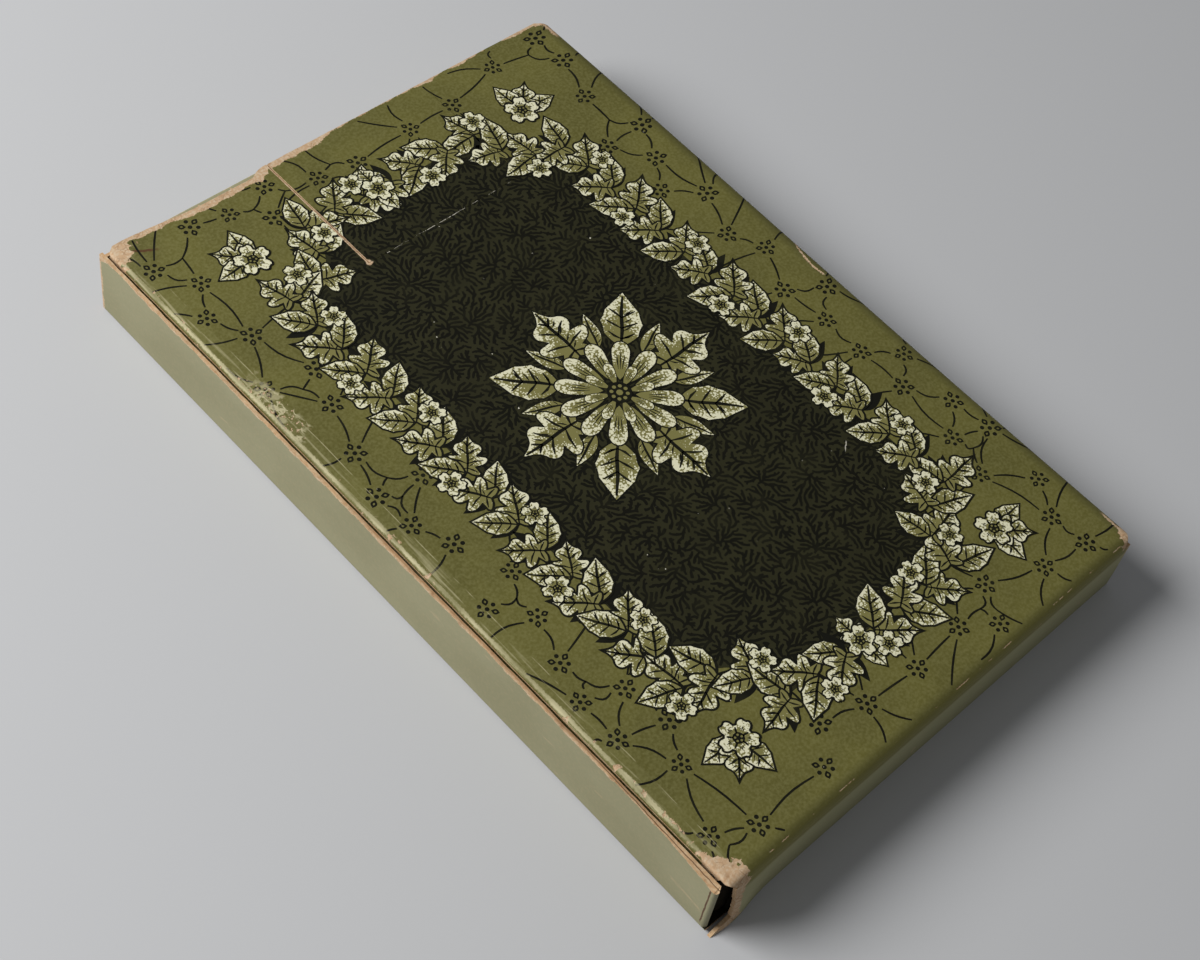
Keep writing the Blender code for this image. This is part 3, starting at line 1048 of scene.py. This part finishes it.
def placed(x, y, turn=0.0, size=1.0, level=0.0):
    return (
        Matrix.Translation((x, y, level))
        @ Matrix.Rotation(turn, 4, "Z")
        @ Matrix.Diagonal((size, size, 1.0, 1.0))
    )


def spoke(turn, reach):
    # a point of a wheel, turned from the panel's long axis
    return -math.sin(turn) * reach, math.cos(turn) * reach


def rimmed(bm, rim):
    # dark outline, pale inside
    tint(bm, 0)
    inner = bmesh.ops.inset_region(
        bm, faces=bm.faces[:], thickness=rim, use_even_offset=True, use_boundary=True
    )
    rims = set(inner["faces"])
    for face in bm.faces:
        face.material_index = 0 if face in rims else 1
    return bm


def bothSides(half):
    # the drawn half of a leaf and its mirror image, as one closed outline
    return half + [(-x, y, kind) for x, y, kind in reversed(half) if abs(x) > 1e-6]


# leaf outlines, one unit long from stalk to tip: right half, knots marked sharp or soft
leafShapes = {
    "lobed": [
        (0.00, 0.00, "v"), (0.12, -0.06, "a"), (0.28, -0.03, "a"), (0.20, 0.14, "v"), (0.36, 0.22, "a"),
        (0.41, 0.38, "a"), (0.22, 0.43, "v"), (0.30, 0.54, "a"), (0.27, 0.67, "a"), (0.12, 0.76, "a"),
        (0.00, 1.00, "v"),
    ],
    "pointed": [
        (0.00, 0.00, "v"), (0.14, 0.10, "a"), (0.25, 0.22, "v"), (0.27, 0.33, "a"), (0.31, 0.43, "v"),
        (0.27, 0.55, "a"), (0.25, 0.65, "v"), (0.14, 0.80, "a"), (0.00, 1.00, "v"),
    ],
    "lance": [(0.00, 0.00, "v"), (0.14, 0.18, "a"), (0.19, 0.42, "a"), (0.11, 0.75, "a"), (0.00, 1.00, "v")],
    "petal": [(0.0, 0.0, "v"), (0.10, 0.15, "a"), (0.19, 0.55, "a"), (0.17, 0.88, "a"), (0.0, 1.0, "a")],
}
leafVeins = {
    "lobed": [
        ((0.0, 0.12), (0.11, 0.08), (0.21, 0.03)),
        ((0.0, 0.22), (0.14, 0.28), (0.31, 0.32)),
        ((0.0, 0.44), (0.10, 0.53), (0.21, 0.60)),
        ((0.0, 0.62), (0.05, 0.70), (0.09, 0.74)),
    ],
    "pointed": [
        ((0.0, 0.16), (0.09, 0.20), (0.18, 0.27)),
        ((0.0, 0.34), (0.11, 0.40), (0.22, 0.46)),
        ((0.0, 0.52), (0.09, 0.60), (0.18, 0.66)),
    ],
    "lance": [],
}
# widths and tapers of the pen, and how far its strokes lie above a shape
penSettings = {"rib": (0.055, 0.5), "vein": (0.040, 0.6), "hatch": (0.026, 0.7), "hatches": 4, "lift": 0.0008}


def makeLeaf(kind, rim=0.040):
    p = penSettings
    bm = mapped(rimmed(outline(bothSides(leafShapes[kind])), rim))
    strokes = bmesh.new()
    add(strokes, penLine([(0.0, 0.0), (0.012, 0.3), (-0.008, 0.6), (0.0, 0.90)], *p["rib"]))
    for side in (-1.0, 1.0):
        for vein in leafVeins[kind]:
            add(strokes, penLine([(side * x, y) for x, y in vein], *p["vein"]))
    for n in range(p["hatches"]):
        y = 0.16 + 0.14 * n
        add(strokes, penLine([(0.03, y), (0.08, y + 0.035), (0.13, y + 0.085)], *p["hatch"]))
    drawOn(bm, strokes, 0, p["lift"])
    return bm


# open flower, one unit from its middle to the petal tips
roseSettings = {
    "petals": 5, "petalSteps": 14, "waist": 0.46, "swell": 0.54, "roundness": 0.45, "notch": 0.10,
    "notchWide": 0.09, "rim": 0.095, "seam": (0.10, 0.3), "ray": (0.060, 0.8), "rays": (-0.16, 0.0, 0.16),
    "heart": 0.27, "eyeDots": 5, "eyeReach": 0.15, "eyeDot": 0.055, "eyeLift": 0.0014,
}


def makeRose(r):
    petals = r["petals"]
    bm = disc(1.0, r["petalSteps"] * petals)
    for vert in bm.verts:
        angle = math.atan2(vert.co.y, vert.co.x)
        phase = (angle * petals / fullTurn) % 1.0
        swell = math.sin(math.pi * phase) ** r["roundness"]
        dent = r["notch"] * math.exp(-((phase - 0.5) / r["notchWide"]) ** 2)
        vert.co *= r["waist"] + r["swell"] * swell - dent
    mapped(rimmed(bm, r["rim"]), roseShift)
    strokes = bmesh.new()
    for n in range(petals):
        turn = fullTurn * n / petals
        add(strokes, penLine([(0.18, 0.0), (0.34, 0.015), (0.50, 0.0)], *r["seam"]), placed(0.0, 0.0, turn))
        for spread in r["rays"]:
            ray = penLine([(0.36, 0.0), (0.48, 0.0), (0.60 - abs(spread), 0.0)], *r["ray"])
            add(strokes, ray, placed(0.0, 0.0, turn + math.pi / petals + spread))
    add(strokes, disc(r["heart"], 12))
    drawOn(bm, strokes, 0, penSettings["lift"])
    eye = bmesh.new()
    for n in range(r["eyeDots"]):
        turn = fullTurn * n / r["eyeDots"]
        add(eye, disc(r["eyeDot"], 6), placed(r["eyeReach"] * math.cos(turn), r["eyeReach"] * math.sin(turn)))
    drawOn(bm, eye, 1, r["eyeLift"])
    return bm


def scoopedPath(halfX, halfY, scoop, pitch):
    # points round a frame with hollow corners, anticlockwise from the middle of the foot side
    path = []

    def straight(start, end):
        start, end = Vector(start), Vector(end)
        count = max(1, round((end - start).length / pitch))
        for n in range(count):
            path.append(start.lerp(end, n / count))

    def hollow(x, y, fromTurn, toTurn):
        count = max(2, round(scoop * quarterTurn / pitch))
        for n in range(count):
            turn = fromTurn + (toTurn - fromTurn) * n / count
            path.append(Vector((x + scoop * math.cos(turn), y + scoop * math.sin(turn))))

    pi = math.pi
    straight((0.0, -halfY), (halfX - scoop, -halfY))
    hollow(halfX, -halfY, pi, pi / 2)
    straight((halfX, -halfY + scoop), (halfX, halfY - scoop))
    hollow(halfX, halfY, 3 * pi / 2, pi)
    straight((halfX - scoop, halfY), (-halfX + scoop, halfY))
    hollow(-halfX, halfY, 2 * pi, 3 * pi / 2)
    straight((-halfX, halfY - scoop), (-halfX, -halfY + scoop))
    hollow(-halfX, -halfY, pi / 2, 0.0)
    straight((-halfX + scoop, -halfY), (0.0, -halfY))
    return path


def inField(x, y, margin=0.0):
    halfX, halfY = printSettings["fieldHalf"]
    if abs(x) > halfX - margin or abs(y) > halfY - margin:
        return False
    return math.hypot(abs(x) - halfX, abs(y) - halfY) > printSettings["scoop"] + margin


def printLayer(name, bm, finishes, level):
    # moves a layer on to the board; the tongue takes the share that lies on it
    s = frontSettings
    fold = (0, frontHigh.x, 1.0, s["rollRight"])
    shift(bm, printSettings["middleX"], 0.0, level)
    foldLines(bm, *fold)
    sagBy(bm)
    roll(bm, *fold)
    shift(bm, 0.0, 0.0, topLevel)
    flareOut(bm)
    slotLeft, slotRight = tongueLow.x - s["slit"], tongueHigh.x + s["slit"]
    slotFoot, tongueEdge = tongueLow.y - s["crease"], tongueHigh.x + s["slitClose"]
    for x in (slotLeft, tongueLow.x, tongueEdge, slotRight):
        cutAt(bm, 0, x)
    for y in (slotFoot, tongueLow.y):
        cutAt(bm, 1, y)
    onTongue = bm.copy()
    dropFaces(onTongue, lambda c: not (tongueLow.x < c.x < tongueEdge and c.y > tongueLow.y))
    dropFaces(bm, lambda c: slotLeft < c.x < slotRight and c.y > slotFoot)
    if onTongue.faces:
        piece(f"{name}_on_tongue", onTongue, finishes, "thumb_tongue")
    else:
        onTongue.free()
    piece(name, bm, finishes, "carton")


def growSprays(s):
    # branching lines that fill the field and keep clear of each other
    draw = random.Random(s["seed"])
    halfX, halfY = s["fieldHalf"]
    apart = s["sprayApart"]
    taken = {}

    def cellOf(spot):
        return math.floor(spot.x / apart), math.floor(spot.y / apart)

    def isFree(spot, kin):
        if not inField(spot.x, spot.y, s["sprayMargin"]):
            return False
        column, row = cellOf(spot)
        for i in (column - 1, column, column + 1):
            for j in (row - 1, row, row + 1):
                for other in taken.get((i, j), ()):
                    if (other - spot).length < apart and other not in kin:
                        return False
        return True

    def grow(spot, heading, kin):
        # one line, as its points and the heading at each
        line = [(spot, heading)]
        for attempt in range(s["sprayTries"]):
            tip, heading = line[-1]
            heading += draw.uniform(-s["spraySwing"], s["spraySwing"])
            spot = tip + Vector((math.cos(heading), math.sin(heading))) * s["sprayStep"]
            if len(line) < s["sprayLong"] and isFree(spot, kin + [tip]):
                taken.setdefault(cellOf(spot), []).append(spot)
                line.append((spot, heading))
                kin = kin + [tip]
        return line

    waiting = []
    for n in range(s["spraySeeds"]):
        spot = Vector((draw.uniform(-halfX, halfX), draw.uniform(-halfY, halfY)))
        if inField(spot.x, spot.y, s["sprayMargin"]):
            waiting.append((spot, draw.uniform(0.0, fullTurn), [], 0))
    lines = []
    for spot, heading, kin, level in waiting:    # side branches join the end of the list as it is read
        line = grow(spot, heading, kin)
        points = [point for point, heading in line]
        if len(line) > 1:
            lines.append((points, level))
        for n in range(1, len(line)):
            near = points[max(0, n - 2) : n + 3]
            for side in (1, -1):
                above = (level + 2 * n + (side > 0)) % s["sprayLevels"]    # lines that touch differ in level
                aside = line[n][1] + side * s["sprayFork"] * (-1) ** n
                waiting.append((points[n], aside, near, above))
    return lines


def makeField(s):
    path = scoopedPath(*s["fieldHalf"], s["scoop"], s["fieldPitch"])
    bm = bmesh.new()
    bm.faces.new([bm.verts.new((*point, 0.0)) for point in path])
    printLayer("print_field", faceUp(bm), [fieldInk], s["fieldLevel"])

    bm = bmesh.new()
    for points, level in growSprays(s):
        spray = penLine(points, s["sprayWidth"], s["sprayTaper"])
        add(bm, spray, placed(0.0, 0.0, level=level * s["sprayLift"]))
    printLayer("print_field_sprays", bm, [sprayInk], s["sprayLevel"])


# garland that follows the edge of the field; a flower with leaves sits in each hollow corner and where the
# two halves part and meet
garlandSettings = {
    "pitch": 3.9, "outside": 0.4, "lean": 0.74, "spread": 2.1,
    "backSize": (4.0, 5.0), "backLean": (-0.15, 0.25), "backFan": (-0.45, 0.0, 0.50), "backShare": 0.80,
    "leafSize": (4.9, 5.8), "leafLean": (-0.20, 0.20), "leafLevel": 0.004,
    "roseEvery": 2, "roseSize": (1.55, 1.80), "roseLevel": 0.046, "roseShare": 0.2,
    "cornerOut": 0.2, "cornerLeaf": 4.9, "cornerFan": (-0.85, 0.0, 0.85),
    "cornerRose": 2.35, "cornerLevel": 0.048,
    "partX": -2.03, "partLeaf": 3.9, "partLevel": 0.042, "partShare": 0.1,
    "partRose": 2.05, "partTurn": 0.3, "partTop": 0.050,
}


def makeGarland(s, g):
    draw = random.Random(s["seed"] + 1)
    halfX, halfY = s["fieldHalf"]
    leaves = [makeLeaf("lobed"), makeLeaf("pointed")]
    shadow = tint(outline(bothSides(leafShapes["lance"]), 2), 0)
    rose = makeRose(roseSettings)
    bm = bmesh.new()
    count = 0
    path = scoopedPath(halfX + g["outside"], halfY + g["outside"], s["scoop"], g["pitch"])

    def level():
        return s["levelStep"] * (count % s["levels"])

    def ahead(n):
        return path[(n + 1) % len(path)] - path[n - 1]

    def climb(n):
        # both halves climb from the foot to the mouth
        along = math.atan2(ahead(n).y, ahead(n).x) - math.pi / 2
        return along + math.pi if path[n].x < 0.0 else along

    for n, point in enumerate(path):
        for side in (-1.0, 1.0):
            turn = climb(n) + side * (g["lean"] + draw.uniform(*g["backLean"]))
            size = draw.uniform(*g["backSize"])
            for extra in g["backFan"]:
                add(bm, shadow, placed(point.x, point.y, turn + side * extra, size * g["backShare"]))
    for n, point in enumerate(path):
        for side in (-1.0, 1.0):
            count += 1
            turn = climb(n) + side * (g["lean"] + draw.uniform(*g["leafLean"]))
            size = draw.uniform(*g["leafSize"])
            leaf = leaves[(n + (side > 0)) % 2]
            add(bm, leaf, placed(point.x, point.y, turn, size, g["leafLevel"] + level()))
    for n in range(0, len(path), g["roseEvery"]):
        count += 1
        unit = ahead(n).normalized()
        aside = g["spread"] * (1.0 if (n // g["roseEvery"]) % 2 else -1.0)
        x, y = path[n].x - unit.y * aside, path[n].y + unit.x * aside
        size = draw.uniform(*g["roseSize"])
        add(bm, rose, placed(x, y, draw.uniform(*anyTurn), size, g["roseLevel"] + level() * g["roseShare"]))
    for signX in (-1.0, 1.0):
        for signY in (-1.0, 1.0):
            x, y = signX * (halfX + g["cornerOut"]), signY * (halfY + g["cornerOut"])
            outward = math.atan2(signY, signX) - math.pi / 2
            for lean in g["cornerFan"]:
                count += 1
                leaf = leaves[1 if lean else 0]
                add(bm, leaf, placed(x, y, outward + lean, g["cornerLeaf"], g["leafLevel"] + level()))
            add(bm, rose, placed(x, y, outward, g["cornerRose"], g["cornerLevel"]))
    for signY in (-1.0, 1.0):
        x, y = g["partX"], signY * (halfY + g["outside"])
        for n in range(2):
            count += 1
            above = g["partLevel"] + level() * g["partShare"]
            add(bm, leaves[n], placed(x, y, math.pi * n, g["partLeaf"], above))
        add(bm, rose, placed(x, y, g["partTurn"], g["partRose"], g["partTop"]))
    for shape in leaves + [shadow, rose]:
        shape.free()
    printLayer("print_garland", bm, inks, s["garlandLevel"])


# medallion in the middle of the field; each ring of petals has its count, size, start and level
medallionSettings = {
    "size": 1.12, "rim": 0.022, "leaves": 8, "leafFrom": 5.4, "leafSize": 7.2, "leafLevel": 0.004,
    "leafStep": 0.002, "smallSize": 4.6, "petalRim": 0.030, "petalLines": (-0.06, 0.0, 0.06),
    "rings": ((12, 5.0, 1.3, 0.012), (8, 2.7, 0.9, 0.024)), "petalStep": 0.003,
    "heart": 1.25, "heartLevel": 0.040,
    "dots": 8, "dot": 0.20, "dotReach": 0.78, "midDot": 0.34, "dotLevel": 0.044,
}


def makeMedallion(s, m):
    bm = bmesh.new()
    big = [makeLeaf("lobed", m["rim"]), makeLeaf("pointed", m["rim"])]
    small = makeLeaf("lance", m["rim"])
    petal = mapped(rimmed(outline(bothSides(leafShapes["petal"])), m["petalRim"]))
    lines = bmesh.new()
    for x in m["petalLines"]:
        line = [(x * 0.6, 0.30), (x, 0.50), (x * 1.3, 0.72 - abs(x))]
        add(lines, penLine(line, *penSettings["hatch"]))
    drawOn(petal, lines, 0, penSettings["lift"])
    for n in range(m["leaves"]):
        turn = fullTurn * n / m["leaves"]
        above = m["leafLevel"] + m["leafStep"] * (n % 2)
        add(bm, big[n % 2], placed(*spoke(turn, m["leafFrom"]), turn, m["leafSize"], above))
        half = turn + math.pi / m["leaves"]
        add(bm, small, placed(*spoke(half, m["leafFrom"]), half, m["smallSize"]))
    for count, size, start, level in m["rings"]:
        for n in range(count):
            turn = fullTurn * (n + 0.5) / count
            add(bm, petal, placed(*spoke(turn, start), turn, size, level + m["petalStep"] * (n % 3)))
    add(bm, tint(disc(m["heart"], 20), 0), placed(0.0, 0.0, level=m["heartLevel"]))
    dots = [(m["dotReach"], fullTurn * n / m["dots"], m["dot"]) for n in range(m["dots"])]
    for reach, turn, radius in dots + [(0.0, 0.0, m["midDot"])]:
        spot = placed(reach * math.cos(turn), reach * math.sin(turn), level=m["dotLevel"])
        add(bm, tint(disc(radius), 1), spot)
    for shape in big + [small, petal]:
        shape.free()
    bmesh.ops.scale(bm, vec=(m["size"], m["size"], 1.0), verts=bm.verts[:])
    printLayer("print_medallion", bm, inks, s["garlandLevel"])


# small sprigs joined by a web of twigs on the olive border
borderSettings = {
    "gap": 4.5, "tries": 6000, "margin": 1.9, "keepOff": 4.1, "cornerClear": 6.3, "bloomSize": (0.85, 1.0),
    "stopShort": 1.5, "longest": 10.0, "shortest": 0.8, "forks": 0.55, "forkShift": 0.5, "twigs": 0.95,
    "line": (0.24, 0.25), "bow": 0.45, "bends": 5,
    "innerEvery": 5, "edgePitch": 5.0, "edgeShift": 1.5,
    "leftShort": 0.75, "rightPast": 0.15, "endShort": 0.6,
}
# three hollow petals and three dots round a middle
bloomSettings = {
    "petal": [(0.0, 0.30, "v"), (0.25, 0.66, "a"), (0.0, 1.0, "v"), (-0.25, 0.66, "a")],
    "petalSize": 1.40, "rim": 0.155, "dot": 0.26, "dotReach": 0.88, "middle": 0.27,
}


def makeBloom(s):
    bloom = bmesh.new()
    petal = rimmed(outline(s["petal"]), s["rim"])
    bmesh.ops.delete(petal, geom=[face for face in petal.faces if face.material_index == 1], context="FACES")
    for n in range(3):
        add(bloom, petal, placed(0.0, 0.0, fullTurn * n / 3, s["petalSize"]))
        add(bloom, disc(s["dot"]), placed(*spoke(fullTurn * (n + 0.5) / 3, s["dotReach"])))
    add(bloom, disc(s["middle"]))
    petal.free()
    return bloom


def makeBorder(s, b):
    draw = random.Random(s["seed"] + 5)
    halfX, halfY = s["fieldHalf"]
    path = scoopedPath(halfX, halfY, s["scoop"], s["fieldPitch"])
    spots = []
    edgeX, edgeY = (frontHigh.x - frontLow.x) / 2, frontHigh.y
    reachX, reachY = edgeX - b["margin"], edgeY - b["margin"]
    for n in range(b["tries"]):
        spot = Vector((draw.uniform(-reachX, reachX), draw.uniform(-reachY, reachY)))
        corner = Vector((math.copysign(halfX, spot.x), math.copysign(halfY, spot.y)))
        if inField(spot.x, spot.y) or (spot - corner).length < b["cornerClear"]:
            continue
        if min((spot - point).length for point in path) < b["keepOff"]:
            continue
        if all((spot - other).length > b["gap"] for other in spots):
            spots.append(spot)
    bm = bmesh.new()
    bloom = makeBloom(bloomSettings)
    for spot in spots:
        add(bm, bloom, placed(spot.x, spot.y, draw.uniform(*anyTurn), draw.uniform(*b["bloomSize"])))
    bloom.free()

    # twigs run between neighbours, to the panel's edges and in under the garland
    def aside(reach):
        return draw.uniform(-reach, reach)

    blooms, pitch = len(spots), b["edgePitch"]
    sides = (b["leftShort"] - edgeX, edgeX + b["rightPast"])
    loose = path[:: b["innerEvery"]]
    for n in range(round(2 * edgeY / pitch)):
        y = -edgeY + (n + 0.5) * pitch
        loose += [Vector((x, y + aside(b["edgeShift"]))) for x in sides]
    for n in range(round(2 * edgeX / pitch)):
        x = -edgeX + (n + 0.5) * pitch
        loose += [Vector((x + aside(b["edgeShift"]), side * (edgeY - b["endShort"]))) for side in (-1.0, 1.0)]
    knots = spots + loose
    triangles = delaunay_2d_cdt(knots, [], [], 0, 1e-4)[2]

    def twig(start, end, shortStart, shortEnd):
        unit = (end - start).normalized()
        start, end = start + unit * shortStart, end - unit * shortEnd
        if (end - start).dot(unit) < b["shortest"]:
            return
        bow = Vector((-unit.y, unit.x)) * aside(b["bow"])
        shares = [k / b["bends"] for k in range(b["bends"] + 1)]
        line = [start.lerp(end, share) + bow * math.sin(math.pi * share) for share in shares]
        add(bm, penLine(line, *b["line"]))

    def short(index):
        return b["stopShort"] if index < blooms else 0.0

    done, used = set(), set()
    for triangle in triangles:
        corners = [knots[index] for index in triangle]
        flowers = sum(index < blooms for index in triangle)
        longest = max((corners[k] - corners[k - 1]).length for k in range(3))
        pairs = [tuple(sorted((triangle[k], triangle[k - 1]))) for k in range(3)]
        if flowers == 0 or longest > b["longest"]:
            continue
        if flowers >= 2 and not used.intersection(triangle) and draw.random() < b["forks"]:
            fork = sum(corners, Vector((0.0, 0.0))) / 3
            fork += Vector((aside(b["forkShift"]), aside(b["forkShift"])))
            for index in triangle:
                twig(fork, knots[index], 0.0, short(index))
            done.update(pairs)
            used.update(index for index in triangle if index >= blooms)
            continue
        for pair in pairs:
            if pair in done or min(pair) >= blooms or used.intersection(pair):
                continue
            done.add(pair)
            used.update(index for index in pair if index >= blooms)
            if draw.random() < b["twigs"]:
                twig(knots[pair[0]], knots[pair[1]], short(pair[0]), short(pair[1]))
    printLayer("print_border", bm, [darkInk], s["borderLevel"])
    print("border sprigs:", blooms)


makeField(printSettings)
makeGarland(printSettings, garlandSettings)
makeMedallion(printSettings, medallionSettings)
makeBorder(printSettings, borderSettings)
print("print made")

# cards: each is cut from its own node's box and laid down with a little play
cardSettings = {"corner": 3.5, "cornerSteps": 8, "softEdge": 0.04, "playX": 0.18, "playY": 0.10, "seed": 32}


def makeCards(s):
    draw = random.Random(s["seed"])
    for name in sorted(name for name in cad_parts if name.startswith("card_")):
        low, high = boxMm(name)
        bm = bmesh.new()
        corners = ((low.x, low.y), (high.x, low.y), (high.x, high.y), (low.x, high.y))
        face = bm.faces.new([bm.verts.new((x, y, high.z)) for x, y in corners])
        soften(bm, list(face.verts), s["corner"], s["cornerSteps"], "VERTICES")
        thicken(bm, high.z - low.z)
        rims = [edge for edge in bm.edges if abs(edge.verts[0].co.z - edge.verts[1].co.z) < 1e-5]
        soften(bm, rims, s["softEdge"], 1)
        tint(bm, 0)
        shift(bm, draw.uniform(-1, 1) * s["playX"], draw.uniform(-1, 1) * s["playY"], 0.0)
        piece(f"{name}_sheet", bm, [cardStock], "deck", name)


makeCards(cardSettings)
print("cards made")

# floor, lamp and world, in metres
stageSettings = {
    "floor": (0.460, 0.463, 0.470), "floorHalf": 3.0, "floorLevel": -0.00003,
    "world": (0.96, 0.98, 1.0), "worldLevel": 0.195,
    "key": {"place": (-0.335, 0.312, 0.365), "aim": (0.0, 0.0, 0.0), "size": 0.36, "power": 4.85},
}


def makeStage(s):
    bm = bmesh.new()
    bmesh.ops.create_grid(bm, x_segments=2, y_segments=2, size=s["floorHalf"])
    shift(bm, 0.0, 0.0, s["floorLevel"])
    mesh = bpy.data.meshes.new("floor")
    bm.to_mesh(mesh)
    bm.free()
    floor = link("floor", mesh)
    f = Finish("floor_paper")
    f.coat((*s["floor"], 1.0), 0.9, 0.1)
    mesh.materials.append(f.material)

    world = bpy.data.worlds.new("studio")
    world.use_nodes = True
    sky = world.node_tree.nodes["Background"]
    sky.inputs["Color"].default_value = (*s["world"], 1.0)
    sky.inputs["Strength"].default_value = s["worldLevel"]
    scene.world = world

    k = s["key"]
    lamp = bpy.data.lights.new("key", "AREA")
    lamp.shape = "DISK"
    lamp.size = k["size"]
    lamp.energy = k["power"]
    made = link("key", lamp)
    made.location = k["place"]
    made.rotation_mode = "QUATERNION"
    made.rotation_quaternion = (Vector(k["aim"]) - Vector(k["place"])).to_track_quat("-Z", "Y")
    scene.view_settings.view_transform = "Standard"


makeStage(stageSettings)
print("stage made")
